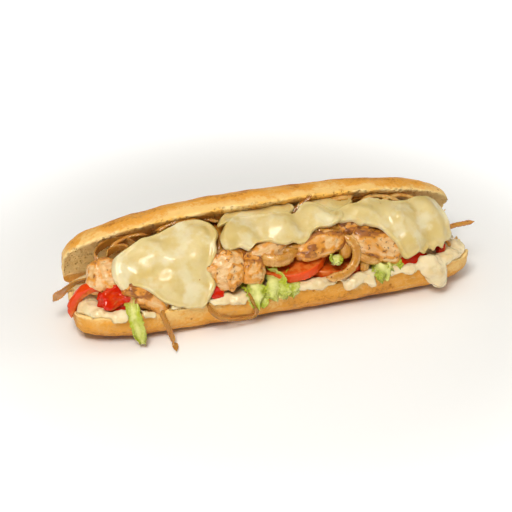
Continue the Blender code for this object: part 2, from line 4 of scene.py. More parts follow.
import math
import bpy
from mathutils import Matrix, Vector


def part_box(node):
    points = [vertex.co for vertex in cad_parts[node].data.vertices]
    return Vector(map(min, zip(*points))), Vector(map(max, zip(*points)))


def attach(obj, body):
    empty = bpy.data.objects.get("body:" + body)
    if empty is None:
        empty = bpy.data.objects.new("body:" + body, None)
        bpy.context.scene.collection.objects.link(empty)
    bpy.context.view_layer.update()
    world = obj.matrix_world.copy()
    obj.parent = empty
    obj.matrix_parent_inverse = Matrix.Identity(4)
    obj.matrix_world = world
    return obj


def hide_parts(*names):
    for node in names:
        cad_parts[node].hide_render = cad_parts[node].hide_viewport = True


bl_info = {
    "name": "Submarine Sandwich",
    "version": (1, 0, 0),
    "blender": (4, 5, 0),
    "location": "View3D > Sidebar > Sandwich",
    "description": "Makes the visible pieces of a filled long roll and its studio",
    "category": "Object",
}

import bmesh
import bpy
import numpy as np
from mathutils import Matrix, Vector, noise
from mathutils.geometry import interpolate_bezier

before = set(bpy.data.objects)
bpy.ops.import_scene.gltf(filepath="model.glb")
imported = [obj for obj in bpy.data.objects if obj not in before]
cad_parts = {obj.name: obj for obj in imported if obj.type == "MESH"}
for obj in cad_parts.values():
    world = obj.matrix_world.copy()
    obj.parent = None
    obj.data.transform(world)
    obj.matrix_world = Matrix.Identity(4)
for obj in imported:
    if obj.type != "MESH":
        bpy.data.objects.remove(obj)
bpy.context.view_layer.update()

MM = 0.001
ROLL_LOW, ROLL_HIGH = (Vector(corner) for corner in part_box("bread_roll"))
# The middle of the lower half's cut face lies this far before the middle of the roll's box
ROLL_MIDDLE = Vector(((ROLL_LOW.x + ROLL_HIGH.x) / 2, (ROLL_LOW.y + ROLL_HIGH.y) / 2 - 6.31 * MM, 0))
LID_LEAN = math.radians(64)
LID_MIDDLE = ROLL_MIDDLE + Vector((0, 18, 47.9)) * MM
LID_OUTWARD = Vector((0, math.sin(LID_LEAN), math.cos(LID_LEAN)))
# The mound of filling, in millimetres from the roll's middle: its axis, and how far it reaches along, to the
# front and up
MOUND_BACK, MOUND_BASE = 6, 26
MOUND_HALF_LENGTH, MOUND_DEPTH, MOUND_HEIGHT = 150, 40, 41
MOUND_AXIS = ROLL_MIDDLE + Vector((0, MOUND_BACK, MOUND_BASE)) * MM
SANDWICH_MIDDLE = Vector((0, 0, 40)) * MM
# The camera's place from the roll's middle
CAMERA_PLACE = Vector((-0.23415, -0.7026, 0.465))

# Grilled chicken: node, centre, size, lean, yaw, how brown and how charred the grill has left it
CHICKEN = (
    ("chicken_left_end", (-125, -9, 45), (25, 25, 18), 45, 0, 0.05, 0.15),
    ("chicken_left_brown", (-105, -25, 39), (25, 12, 11), 65, -22, 0.60, 0.12),
    ("chicken_left_low", (-97, -28, 31), (27, 15, 12), 75, -30, 0.50, 0.05),
    ("chicken_cheese_bit", (-64, -32, 31), (10, 12, 7), 80, 15, 0.20, 0.20),
    ("chicken_centre_big", (-42, -25, 44.5), (27, 29, 20), 65, 10, 0.15, 0.30),
    ("chicken_centre_small", (-25, -27, 42), (19, 20, 15), 68, -12, 0.15, 0.20),
    ("chicken_mid_white", (-13, -20, 50), (35, 17, 13), 55, 14, 0.05, 0.15),
    ("chicken_mid_knob", (-33, -18, 52), (15, 14, 12), 50, 0, 0.75, 0.45),
    ("chicken_right_mid", (27, -23, 51), (37, 17, 13), 55, 12, 0.42, 0.10),
    ("chicken_right_upper", (56, -14, 55), (28, 17, 13), 45, -12, 0.70, 0.50),
    ("chicken_right_big", (71, -24, 45), (47, 22, 14), 60, -20, 0.34, 0.25),
)

# Chunks of tomato: node, centre, size, lean, yaw
TOMATO_CHUNKS = (
    ("tomato_left_chunk", (-120, -21, 34), (24, 15, 12), 60, 10),
    ("tomato_left_bit", (-121, -24, 27.5), (15, 8, 5), 50, 5),
    ("tomato_centre_bit", (-52, -30, 31), (12, 9, 9), 70, -20),
    ("tomato_right_chunk", (96, -27, 30), (27, 12, 10), 65, 5),
    ("tomato_far_right_bit", (124, -22, 31), (6, 9, 8), 60, 0),
)

STRANDS = {
    # node: width and thickness in millimetres, how brown, route in millimetres from the roll's middle
    "onion_hanging_left": (4.0, 1.5, 0.75, (
        (-92, -31, 30), (-91, -36.6, 21), (-88, -38.2, 12), (-86, -38, 5), (-85, -43, 1.7), (-86, -51, 1.5))),
    "onion_loop_front": (3.8, 1.5, 0.65, (
        (-59, -34, 26), (-57, -37.6, 20), (-50, -38.2, 13), (-40, -36.4, 8.5), (-29, -35, 7),
        (-24, -36.5, 10), (-25, -38, 18), (-29, -36.5, 26), (-31, -31, 32))),
    "onion_lid_middle": (4.6, 1.8, 0.85, ((7, 1, 62), (17, 3.5, 68), (24, 4.5, 72.5), (31, 4.5, 76.5))),
    "onion_tip_right": (3.8, 1.6, 0.5, (
        (122, -14, 34), (130, -11, 38), (139, -9.5, 41), (150, -8.5, 41.5), (158, -8, 41))),
    "onion_far_left": (6.0, 1.4, 0.35, (
        (-132, 14, 31), (-142, 13, 31), (-149, 12, 28), (-155, 9, 25), (-160.5, 8, 20.5))),
    "onion_lid_left": (5.0, 2.0, 0.50, ((-84, 8, 65), (-75, 9, 68.5), (-65, 9, 70), (-54, 8, 70))),
    "onion_lid_pale_a": (7.0, 1.6, 0.15, ((32, 8, 66), (42, 7, 69.5), (53, 7, 71), (64, 8, 70))),
    "onion_strand_right": (4.8, 2.4, 0.35, ((22, -15, 60), (32, -18, 59.5), (40, -21, 57), (46, -23, 53))),
    "onion_slice_right": (6.4, 3.2, 0.25, (
        (51, -24, 48), (56, -30, 42), (62, -32.5, 38), (70, -31.5, 35.5), (78, -27, 34))),
}

# Thin outer skins of onion, which the crust shows through
CLEAR_STRANDS = ("onion_hanging_left", "onion_loop_front", "onion_far_left")

RINGS = {
    # node: middle, radii, start and end angle, band, wall, lean, yaw, how brown
    "onion_cup_outer": ((-114, 0, 55), (15.5, 14), -15, 205, 7.5, 1.7, 16, 8, 0.50),
    "onion_cup_inner": ((-113, -3, 55.5), (9, 8.5), -145, 170, 6.5, 1.7, 14, 10, 0.35),
    "onion_ring_mid": ((-5, -20.5, 46), (13, 10.5), 183, 360, 9, 4.4, -14, 12, 0.30),
    "onion_ring_right": ((35, -31, 45.5), (18, 15.5), -114, 57, 4.6, 6.5, 62, 0, 0.25),
}

# Cooked lumps of onion: node, how brown
ONION_LUMPS = (
    ("onion_lump_mid", 0.4), ("onion_lump_ring", 0.45), ("onion_lump_low", 0.3), ("onion_pink_left", 0.0))

SHREDS = {
    # node: width, fold height and number of folds, route
    "lettuce_left_strip": (9.0, 1.3, 1.1, (
        (-113, -20, 31), (-112, -29, 32), (-111, -35, 27), (-109.5, -37.8, 17), (-108, -38.5, 9),
        (-107, -40, 3.2))),
    "lettuce_mid_a": (14, 2.0, 1.4, (
        (-28, -22, 34), (-26, -31, 35), (-23.5, -36.6, 29), (-22, -38.2, 21), (-21.5, -38, 15))),
    "lettuce_mid_b": (17, 2.4, 1.6, ((-12, -22, 32), (-10, -32, 33), (-8.5, -37.4, 28), (-7.5, -38.4, 20))),
    "lettuce_mid_c": (14, 2.0, 1.4, ((4, -22, 30), (2, -32, 31), (0.5, -36.8, 26.5), (0, -37.8, 20))),
    "lettuce_right_a": (13, 2.0, 1.3, (
        (70, -18, 32), (71, -28, 33), (72, -34.5, 30), (73, -36.8, 25), (73.5, -37, 20))),
    "lettuce_right_b": (12, 1.8, 1.3, ((80, -18, 31), (81, -27, 33), (82, -33.5, 31), (83, -36, 26))),
    "lettuce_gap": (10, 1.4, 1.2, ((40, -21, 42), (38.5, -27, 43.5), (37, -31, 43), (34, -35, 39.5))),
}

# Loose fried strands in the gaps of the mound: width, how brown, route as x, angle and lift
LOOSE_STRANDS = (
    (4.0, 0.75, ((-46, 66, -3), (-40, 60, -1.5), (-34, 58, -2.5), (-30, 50, -3))),
    (3.6, 0.60, ((-44, 52, -3), (-38, 50, -1), (-31, 50, -1), (-24, 47, -3))),
    (4.2, 0.80, ((-40, 74, -3), (-43, 62, -2), (-45, 52, -3), (-46, 44, -4))),
    (3.8, 0.50, ((-2, 44, -4), (6, 43, -1), (14, 42, -1), (21, 44, -4))),
    (3.4, 0.70, ((0, 38, -5), (7, 38, -1.5), (14, 37, -2), (19, 35, -5))),
    (4.6, 0.55, ((22, 58, -3), (30, 60, 0), (38, 59, 0.5), (46, 54, -2))),
    (4.0, 0.75, ((28, 56, -3), (36, 54, -0.5), (43, 50, 0), (49, 43, -2))),
    (3.6, 0.40, ((44, 40, -4), (50, 34, -1), (57, 28, -1), (64, 22, -4))),
    (4.4, 0.65, ((50, 36, -4), (57, 40, -2), (66, 38, -3), (74, 33, -5))),
    (3.6, 0.50, ((-118, 88, -2), (-110, 96, -1), (-100, 98, -1), (-90, 96, -3))),
    (3.8, 0.50, ((-84, 92, -2), (-74, 99, -1), (-62, 101, -1), (-50, 97, -3))),
    (5.0, 0.05, ((66, 84, -2), (76, 93, 0.5), (88, 95, 0.5), (100, 88, -2))),
    (4.6, 0.10, ((84, 86, -2), (96, 95, 0), (108, 96, 0), (118, 90, -2))),
    (4.2, 0.35, ((58, 96, -3), (70, 102, -1), (84, 103, -1), (96, 98, -3))),
    (4.4, 0.15, ((-66, 94, -2), (-56, 100, 0), (-46, 100, 0), (-38, 94, -2))),
    (3.2, 0.55, ((120, 34, -4), (126, 28, -2), (130, 20, -2), (133, 10, -4))),
)

# Melted cheese: name, centre (x, angle round the mound), thickness, lift, outline of (x, angle)
CHEESE = (
    ("cheese_left", (-82, 48), 5.0, 1.5,
     ((-44, 71), (-46, 80), (-50, 86), (-58, 88), (-65, 87), (-74, 83), (-83, 80), (-92, 78), (-100, 75),
      (-108, 70), (-114, 67), (-119, 63), (-121, 56), (-122, 47), (-121, 38), (-119, 31), (-117, 26),
      (-113, 28), (-109, 28), (-105, 26), (-101, 23), (-97, 18), (-93, 12), (-89, 7), (-84, 4), (-80, 1),
      (-76, 0), (-72, -3), (-66, -3), (-62, -4), (-58, 4), (-54, 12), (-52, 19), (-54, 28), (-52, 38),
      (-48, 48), (-47, 57), (-44, 64))),
    ("cheese_mid", (-4, 62), 5.0, 2.0,
     ((52, 69), (46, 76), (39, 80), (33, 84), (26, 86), (19, 81), (14, 77), (8, 79), (2, 80), (-5, 78),
      (-13, 82), (-20, 85), (-27, 84), (-33, 79), (-39, 71), (-44, 60), (-44, 51), (-41, 46), (-37, 47),
      (-31, 48), (-26, 44), (-21, 49), (-16, 51), (-10, 50), (-4, 46), (2, 44), (8, 45), (14, 42), (20, 46),
      (24, 53), (30, 56), (38, 55), (48, 60))),
    ("cheese_right", (100, 62), 5.5, 2.0,
     ((133, 50), (132, 64), (130, 76), (125, 85), (114, 83), (102, 77), (94, 74), (85, 78), (75, 81),
      (66, 79), (57, 76), (49, 74), (41, 72), (38, 63), (45, 58), (54, 57), (59, 52), (64, 52), (68, 49),
      (72, 47), (76, 42), (79, 36), (83, 30), (85, 24), (88, 15), (92, 11), (97, 14), (101, 17), (106, 13),
      (110, 18), (114, 14), (118, 19), (122, 15), (125, 23), (130, 24), (133, 32), (132, 40))),
    ("cheese_back", (-8, 90), 3.0, 1.5,
     ((18, 88), (10, 100), (0, 105), (-12, 106), (-22, 104), (-31, 98), (-38, 88), (-43, 74), (-34, 76),
      (-26, 82), (-16, 80), (-4, 76), (10, 78))),
    ("cheese_back_right", (40, 88), 3.0, 1.5,
     ((62, 85), (55, 98), (44, 105), (34, 103), (26, 97), (19, 86), (28, 82), (36, 78), (43, 71), (54, 73))),
)

# Where a sheet rises over what it covers, or sags between: x, angle, spread along, spread round, height
CHEESE_SWELLS = (
    (-65, 62, 18, 18, 1.5), (-88, 39, 8, 11, -1.6), (-98, 58, 14, 12, 1.0), (-62, 12, 9, 10, 1.2),
    (-30, 64, 12, 12, 2.6), (-15, 66, 5, 12, -1.8), (2, 60, 14, 10, 2.6), (15, 66, 5, 10, -1.6),
    (27, 72, 9, 10, 2.4), (62, 65, 14, 8, 1.6), (80, 58, 6, 12, -1.2), (106, 58, 18, 14, 1.8),
    (94, 26, 8, 10, 1.6), (112, 34, 8, 12, -1.0),
)

# Folds that the sheets fell in: start and end as x and angle, half width, height in steps of FOLD_RISE
FOLD_RISE = 1.5  # millimetres
CHEESE_FOLDS = (
    (-90, 50, -72, 40, 9, 1.0), (-66, 80, -50, 60, 6, 1.2), (-92, 34, -76, 8, 7, 0.9),
    (-74, 38, -56, 24, 6, -1.2), (-114, 54, -104, 34, 6, 1.0), (-34, 78, -38, 54, 6, 1.2),
    (-20, 82, -14, 56, 5, -1.2), (-6, 80, 6, 52, 6, 1.3), (14, 78, 18, 50, 5, -1.2),
    (26, 82, 40, 62, 6, 1.2), (52, 76, 74, 56, 5, 1.2), (70, 80, 96, 46, 6, 1.1), (88, 52, 100, 18, 5, 1.4),
    (104, 72, 112, 26, 5, -1.2), (118, 80, 122, 30, 6, 1.2),
)


# Small helpers for meshes


def link(obj):
    bpy.context.scene.collection.objects.link(obj)
    return obj


def merged_copy(nodes, name):
    """One object from copies of CAD nodes, whose loose triangles are joined first."""
    bm = bmesh.new()
    for node in nodes:
        bm.from_mesh(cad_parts[node].data)
    bmesh.ops.remove_doubles(bm, verts=bm.verts, dist=0.001 * MM)
    mesh = bpy.data.meshes.new(name)
    bm.to_mesh(mesh)
    bm.free()
    mesh.materials.clear()
    return link(bpy.data.objects.new(name, mesh))


def apply_modifiers(obj):
    """Turns the object and its modifiers into a plain mesh."""
    graph = bpy.context.evaluated_depsgraph_get()
    mesh = bpy.data.meshes.new_from_object(obj.evaluated_get(graph))
    obj.modifiers.clear()
    old, obj.data = obj.data, mesh
    bpy.data.meshes.remove(old)
    obj.data.name = obj.name
    return obj


def one_skin(obj, voxel, smoothing, growth=0.0):
    """A fresh even skin over the piece, as a base for relief."""
    if growth:
        grow = obj.modifiers.new("grow", "DISPLACE")
        grow.strength = growth
        grow.mid_level = 0.0
    remesh = obj.modifiers.new("skin", "REMESH")
    remesh.mode = "VOXEL"
    remesh.voxel_size = voxel
    smooth = obj.modifiers.new("soften", "SMOOTH")
    smooth.iterations = smoothing
    return apply_modifiers(obj)


def places(obj):
    flat = np.empty(len(obj.data.vertices) * 3)
    obj.data.vertices.foreach_get("co", flat)
    return flat.reshape(-1, 3)


def normals(obj):
    flat = np.empty(len(obj.data.vertices) * 3, dtype=np.float32)
    obj.data.vertex_normals.foreach_get("vector", flat)
    return flat.reshape(-1, 3)


def store(obj, name, values):
    """Keeps a number or a vector for each point, for relief and materials to read."""
    values = np.asarray(values, dtype=np.float32)
    kind = "FLOAT_VECTOR" if values.ndim == 2 else "FLOAT"
    attribute = obj.data.attributes.new(name, kind, "POINT")
    attribute.data.foreach_set("vector" if values.ndim == 2 else "value", values.ravel())


def soft_step(low, high, values):
    share = np.clip((values - low) / (high - low), 0, 1)
    return share * share * (3 - 2 * share)


def own_axes(obj):
    """Each point's place along, across and through the piece, from its longest to its thinnest way."""
    points = places(obj)
    middle = points.mean(0)
    _, axes = np.linalg.eigh(np.cov((points - middle).T))
    return (points - middle) @ axes[:, ::-1]


def convex_edges(obj, rounds=24):
    """How far each point stands out of its surroundings, in metres: high along the piece's rounded edges."""
    ends = np.empty(len(obj.data.edges) * 2, dtype=np.int32)
    obj.data.edges.foreach_get("vertices", ends)
    one, other = ends.reshape(-1, 2).T
    points = places(obj)
    size = len(points)
    count = np.bincount(ends, minlength=size)
    soft = points.copy()
    for _ in range(rounds):
        soft = np.stack([(np.bincount(one, values[other], size) + np.bincount(other, values[one], size))
                         / count for values in soft.T], axis=-1)
    return ((points - soft) * normals(obj)).sum(1)


def placing(centre, lean, yaw):
    """From the origin to a piece's place: yaw in its own plane, then lean to the front."""
    turn = Matrix.Rotation(math.radians(lean), 4, "X") @ Matrix.Rotation(math.radians(yaw), 4, "Z")
    return Matrix.Translation(ROLL_MIDDLE + Vector(centre) * MM) @ turn


def chunk(name, size, seed, boxiness, unevenness):
    """A rounded, uneven block round the origin, long along X."""
    bm = bmesh.new()
    bmesh.ops.create_uvsphere(bm, u_segments=72, v_segments=48, radius=1.0)
    bmesh.ops.rotate(bm, verts=bm.verts, matrix=Matrix.Rotation(math.pi / 2, 3, "Y"))
    for vertex in bm.verts:
        direction = vertex.co.normalized()
        reach = sum(abs(part) ** boxiness for part in direction) ** (-1 / boxiness)
        reach *= 1 + unevenness * noise.noise(direction * 1.7 + Vector((seed, 0, 0)))
        reach *= 1 + 0.5 * unevenness * noise.noise(direction * 4.0 + Vector((0, seed, 0)))
        vertex.co = Vector([direction[i] * reach * size[i] * MM / 2 for i in range(3)])
    mesh = bpy.data.meshes.new(name)
    bm.to_mesh(mesh)
    bm.free()
    return link(bpy.data.objects.new(name, mesh))


def settle(obj, nodes):
    """Hands a finished piece to the frame in place of its CAD nodes."""
    obj.data.shade_smooth()
    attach(obj, "root")
    if nodes:
        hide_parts(*nodes)


# Small helpers for node trees


def add(tree, kind, inputs=None, **settings):
    """A node with its settings, whose inputs take a value or another node's output."""
    made = tree.nodes.new(kind)
    for key, value in settings.items():
        setattr(made, key, value)
    for key, value in (inputs or {}).items():
        if isinstance(value, bpy.types.NodeSocket):
            tree.links.new(value, made.inputs[key])
        else:
            made.inputs[key].default_value = value
    return made


def maths(tree, operation, first, second=0.0, third=0.0):
    return add(tree, "ShaderNodeMath", {0: first, 1: second, 2: third}, operation=operation).outputs[0]


def times(tree, first, second):
    return maths(tree, "MULTIPLY", first, second)


def plus(tree, first, second):
    return maths(tree, "ADD", first, second)


def minus(tree, first, second):
    return maths(tree, "SUBTRACT", first, second)


def times_plus(tree, first, second, third):
    """First times second, plus third."""
    return maths(tree, "MULTIPLY_ADD", first, second, third)


def vector_maths(tree, operation, first, second):
    return add(tree, "ShaderNodeVectorMath", {0: first, 1: second}, operation=operation).outputs["Vector"]


def stretched(tree, vector, factor):
    made = add(tree, "ShaderNodeVectorMath", {0: vector, "Scale": factor}, operation="SCALE")
    return made.outputs["Vector"]


def step(tree, value, low, high, start=0.0, end=1.0):
    """Goes smoothly from start to end while the value goes from low to high."""
    made = add(tree, "ShaderNodeMapRange", {"Value": value, "From Min": low, "From Max": high,
                                            "To Min": start, "To Max": end}, interpolation_type="SMOOTHSTEP")
    return made.outputs["Result"]


def noise_field(tree, where, scale, detail, seed=None, output="Fac"):
    """Soft noise in space, which a seed draws anew."""
    if seed is None:
        made = add(tree, "ShaderNodeTexNoise", {"Vector": where, "Scale": scale, "Detail": detail})
    else:
        made = add(tree, "ShaderNodeTexNoise", {"Vector": where, "W": seed, "Scale": scale, "Detail": detail},
                   noise_dimensions="4D")
    return made.outputs[output]


def line_noise(tree, where, detail=2.0):
    """Soft noise along a line."""
    made = add(tree, "ShaderNodeTexNoise", {"W": where, "Detail": detail}, noise_dimensions="1D")
    return made.outputs["Fac"]


def cell_distance(tree, where, scale, feature="F1"):
    """How far each place is from the middle of its cell, or from the cell's edge."""
    made = add(tree, "ShaderNodeTexVoronoi", {"Vector": where, "Scale": scale}, feature=feature)
    return made.outputs["Distance"]


def mix(tree, share, one, other):
    """A colour between two colours."""
    return add(tree, "ShaderNodeMix", {0: share, 6: one, 7: other}, data_type="RGBA").outputs[2]


def colour(values):
    return (*values, 1.0)


def new_group(name, kind, sockets):
    """A node group with named inputs and outputs, and its two end nodes."""
    group = bpy.data.node_groups.new(name, kind)
    for socket, way, socket_kind, default in sockets:
        made = group.interface.new_socket(socket, in_out=way, socket_type="NodeSocket" + socket_kind)
        if default is not None:
            made.default_value = default
    return group, group.nodes.new("NodeGroupInput").outputs, group.nodes.new("NodeGroupOutput").inputs


def new_tree(name, sizes):
    """A Geometry Nodes group from geometry to geometry, with sizes and a material to set."""
    return new_group(name, "GeometryNodeTree", (
        ("Geometry", "INPUT", "Geometry", None),
        *((size, "INPUT", "Float", start) for size, start in sizes.items()),
        ("Material", "INPUT", "Material", None), ("Geometry", "OUTPUT", "Geometry", None)))


def use_tree(obj, group, **values):
    """Runs a Geometry Nodes group over an object; underscores in the names stand for spaces."""
    modifier = obj.modifiers.new(group.name, "NODES")
    modifier.node_group = group
    items = group.interface.items_tree
    sockets = {item.name: item.identifier for item in items if item.in_out == "INPUT"}
    for name, value in values.items():
        modifier[sockets[name.replace("_", " ")]] = value
    return apply_modifiers(obj)


def point_place(tree):
    return tree.nodes.new("GeometryNodeInputPosition").outputs[0]


def curve_share(tree):
    """How far along its curve each point is, from 0 to 1."""
    return tree.nodes.new("GeometryNodeSplineParameter").outputs["Factor"]


def point_value(tree, name, kind="FLOAT"):
    """An attribute of the geometry that the tree works on."""
    return add(tree, "GeometryNodeInputNamedAttribute", {"Name": name}, data_type=kind).outputs[0]


def with_value(tree, geometry, name, value, kind="FLOAT"):
    """The geometry with an attribute more."""
    inputs = {"Geometry": geometry, "Name": name, "Value": value}
    return add(tree, "GeometryNodeStoreNamedAttribute", inputs, data_type=kind, domain="POINT").outputs[0]


def turned_curve(tree, curve):
    """The curve with its normals turned to the attribute 'facing'."""
    facing = point_value(tree, "facing", "FLOAT_VECTOR")
    return add(tree, "GeometryNodeSetCurveNormal", {"Curve": curve, "Normal": facing}, mode="FREE").outputs[0]


def raised(tree, geometry, rise):
    """The geometry moved along its normals."""
    offset = stretched(tree, tree.nodes.new("GeometryNodeInputNormal").outputs[0], rise)
    return add(tree, "GeometryNodeSetPosition", {"Geometry": geometry, "Offset": offset}).outputs[0]


def finish_tree(tree, geometry, material, output):
    """Ends a tree with real geometry in its own material."""
    real = add(tree, "GeometryNodeRealizeInstances", {0: geometry}).outputs[0]
    painted = add(tree, "GeometryNodeSetMaterial", {"Geometry": real, "Material": material}).outputs[0]
    tree.links.new(painted, output)


# Geometry Nodes trees


def relief_tree():
    """Raises lumps and grain on a skin, along its normals. The grain follows the attribute 'along'."""
    if "soft relief" in bpy.data.node_groups:
        return bpy.data.node_groups["soft relief"]
    tree, given, made = new_tree("soft relief", {
        "Lump Size": 0.012, "Lump Height": 0.001, "Grain Size": 0.002, "Grain Height": 0.0002, "Seed": 0.0})
    along = point_value(tree, "along", "FLOAT_VECTOR")
    total = 0.0
    for where, kind, detail in ((point_place(tree), "Lump", 1.5), (along, "Grain", 3.0)):
        scale = maths(tree, "DIVIDE", 1.0, given[kind + " Size"])
        field = noise_field(tree, where, scale, detail, given["Seed"])
        height = times(tree, given[kind + " Height"], 2.0)
        total = plus(tree, times(tree, minus(tree, field, 0.5), height), total)
    finish_tree(tree, raised(tree, given["Geometry"], total), given["Material"], made["Geometry"])
    return tree


def bread_tree():
    """Wrinkles the crust and opens pores in the crumb, as the attribute 'crumb' says."""
    tree, given, made = new_tree("bread relief", {
        "Crust Height": 0.0006, "Pore Size": 0.004, "Pore Depth": 0.0012})
    crumb, place = point_value(tree, "crumb"), point_place(tree)
    broad = noise_field(tree, place, 45.0, 2.0)
    drawn = vector_maths(tree, "MULTIPLY", place, (0.4, 1.0, 1.0))
    fine = noise_field(tree, drawn, 150.0, 2.5)
    crust = times(tree, minus(tree, times_plus(tree, fine, 0.5, broad), 0.75), given["Crust Height"])
    scale = maths(tree, "DIVIDE", 1.0, given["Pore Size"])
    large = cell_distance(tree, place, scale)
    small = cell_distance(tree, place, times(tree, scale, 2.1))
    pits = plus(tree, step(tree, large, 0.1, 0.5, 1.0, 0.0), step(tree, small, 0.1, 0.5, 0.45, 0.0))
    torn = noise_field(tree, place, 150.0, 3.0)
    sunk = times(tree, minus(tree, times(tree, torn, 1.6), pits), given["Pore Depth"])
    rise = times_plus(tree, sunk, crumb, times(tree, crust, minus(tree, 1.0, crumb)))
    finish_tree(tree, raised(tree, given["Geometry"], rise), given["Material"], made["Geometry"])
    return tree


def strand_tree():
    """Sweeps a hollow-backed onion strip along a route, its broad face turned to the attribute 'facing'."""
    tree, given, made = new_tree("onion strand", {
        "Width": 0.004, "Thickness": 0.0016, "Hollow": 0.25, "Wobble": 0.0006, "Seed": 0.0})
    place = point_place(tree)
    curve = add(tree, "GeometryNodeMeshToCurve", {"Mesh": given["Geometry"]}).outputs[0]
    drift = noise_field(tree, place, 130.0, 1.0, given["Seed"], "Color")
    offset = stretched(tree, vector_maths(tree, "SUBTRACT", drift, (0.5, 0.5, 0.5)), given["Wobble"])
    curve = add(tree, "GeometryNodeSetPosition", {"Geometry": curve, "Offset": offset}).outputs[0]
    curve = turned_curve(tree, curve)
    share = curve_share(tree)
    curve = with_value(tree, curve, "length_share", share)
    ends = maths(tree, "ABSOLUTE", times_plus(tree, share, 2.0, -1.0))
    taper = step(tree, ends, 0.8, 1.0, 1.0, 0.25)
    uneven = line_noise(tree, times_plus(tree, share, 9.0, given["Seed"]))
    scale = times(tree, taper, times_plus(tree, uneven, 0.6, 0.7))
    circle = add(tree, "GeometryNodeCurvePrimitiveCircle", {"Resolution": 20, "Radius": 0.5}).outputs["Curve"]
    circle = with_value(tree, circle, "round_share", curve_share(tree))
    # X of the profile is the broad face's normal, and Y runs across the strip
    parts = add(tree, "ShaderNodeSeparateXYZ", {0: place}).outputs
    bent = times(tree, times(tree, parts[1], parts[1]), given["Hollow"])
    bent = times(tree, times(tree, bent, 4.0), given["Width"])
    deep = minus(tree, times(tree, parts[0], given["Thickness"]), bent)
    wide = times(tree, parts[1], given["Width"])
    shaped = add(tree, "ShaderNodeCombineXYZ", {0: deep, 1: wide}).outputs[0]
    circle = add(tree, "GeometryNodeSetPosition", {"Geometry": circle, "Position": shaped}).outputs[0]
    swept = add(tree, "GeometryNodeCurveToMesh",
                {"Curve": curve, "Profile Curve": circle, "Scale": scale, "Fill Caps": True}).outputs[0]
    finish_tree(tree, swept, given["Material"], made["Geometry"])
    return tree


def leaf_tree():
    """Sweeps a shred of leaf along a route, folded lengthwise like a crumpled leaf, its far end torn."""
    tree, given, made = new_tree("leaf shred", {
        "Width": 0.01, "Fold Height": 0.002, "Folds": 2.0, "Seed": 0.0})
    curve = add(tree, "GeometryNodeMeshToCurve", {"Mesh": given["Geometry"]}).outputs[0]
    curve = turned_curve(tree, curve)
    share = curve_share(tree)
    curve = with_value(tree, curve, "length_share", share)
    way = tree.nodes.new("GeometryNodeInputTangent").outputs[0]
    curve = with_value(tree, curve, "way", way, "FLOAT_VECTOR")
    sway = line_noise(tree, times_plus(tree, share, 2.6, given["Seed"]), 1.0)
    scale = times(tree, step(tree, share, 0.84, 1.0, 1.0, 0.5), times_plus(tree, sway, 0.7, 0.65))
    scale = times(tree, scale, given["Width"])
    line = add(tree, "GeometryNodeCurvePrimitiveLine", {"Start": (0, -0.5, 0), "End": (0, 0.5, 0)}).outputs[0]
    line = add(tree, "GeometryNodeResampleCurve", {"Curve": line, "Count": 41}).outputs[0]
    line = with_value(tree, line, "across", times_plus(tree, curve_share(tree), 2.0, -1.0))
    swept = add(tree, "GeometryNodeCurveToMesh",
                {"Curve": curve, "Profile Curve": line, "Scale": scale}).outputs[0]
    edge = point_value(tree, "across")
    drift = noise_field(tree, point_place(tree), 70.0, 0.0, given["Seed"])
    turns = times(tree, times(tree, edge, given["Folds"]), math.pi)
    phase = plus(tree, times_plus(tree, drift, 9.0, turns), given["Seed"])
    frill = times(tree, minus(tree, drift, 0.5), times(tree, edge, edge))
    rise = times_plus(tree, frill, 1.3, maths(tree, "SINE", phase))
    rise = times(tree, rise, given["Fold Height"])
    torn = times_plus(tree, line_noise(tree, times_plus(tree, edge, 2.2, given["Seed"])), 0.007, -0.005)
    cut = times(tree, torn, step(tree, point_value(tree, "length_share"), 0.55, 1.0))
    folded = stretched(tree, tree.nodes.new("GeometryNodeInputNormal").outputs[0], rise)
    offset = vector_maths(tree, "ADD", folded, stretched(tree, point_value(tree, "way", "FLOAT_VECTOR"), cut))
    moved = add(tree, "GeometryNodeSetPosition", {"Geometry": swept, "Offset": offset}).outputs[0]
    finish_tree(tree, moved, given["Material"], made["Geometry"])
    return tree


# Shader groups


def mask_group(name, sizes):
    """A shader group from a vector to a mask, with sizes to set."""
    return new_group(name, "ShaderNodeTree", (
        ("Vector", "INPUT", "Vector", None),
        *((size, "INPUT", "Float", start) for size, start in sizes.items()),
        ("Mask", "OUTPUT", "Float", None)))


def blotch_group():
    """Soft uneven patches over a surface."""
    if "blotches" in bpy.data.node_groups:
        return bpy.data.node_groups["blotches"]
    group, given, made = mask_group("blotches", {"Size": 0.01, "Low": 0.45, "High": 0.6, "Rough": 0.55})
    scale = maths(group, "DIVIDE", 1.0, given["Size"])
    field = add(group, "ShaderNodeTexNoise", {"Vector": given["Vector"], "Scale": scale, "Detail": 4.0,
                                              "Roughness": given["Rough"]}).outputs["Fac"]
    group.links.new(step(group, field, given["Low"], given["High"]), made["Mask"])
    return group


def speck_group():
    """Scattered small dots, as of ground pepper and herbs."""
    if "specks" in bpy.data.node_groups:
        return bpy.data.node_groups["specks"]
    group, given, made = mask_group("specks", {"Spacing": 0.004, "Radius": 0.12, "Share": 0.3})
    scale = maths(group, "DIVIDE", 1.0, given["Spacing"])
    bend = noise_field(group, given["Vector"], times(group, scale, 3.0), 2.0, output="Color")
    where = vector_maths(group, "ADD", given["Vector"], stretched(group, bend, 0.0005))
    cells = add(group, "ShaderNodeTexVoronoi", {"Vector": where, "Scale": scale}).outputs
    chance = add(group, "ShaderNodeSeparateColor", {0: cells["Color"]}).outputs
    radius = times(group, given["Radius"], plus(group, chance[1], 0.4))
    dot = maths(group, "LESS_THAN", cells["Distance"], radius)
    drawn = maths(group, "LESS_THAN", chance[0], given["Share"])
    group.links.new(times(group, dot, drawn), made["Mask"])
    return group


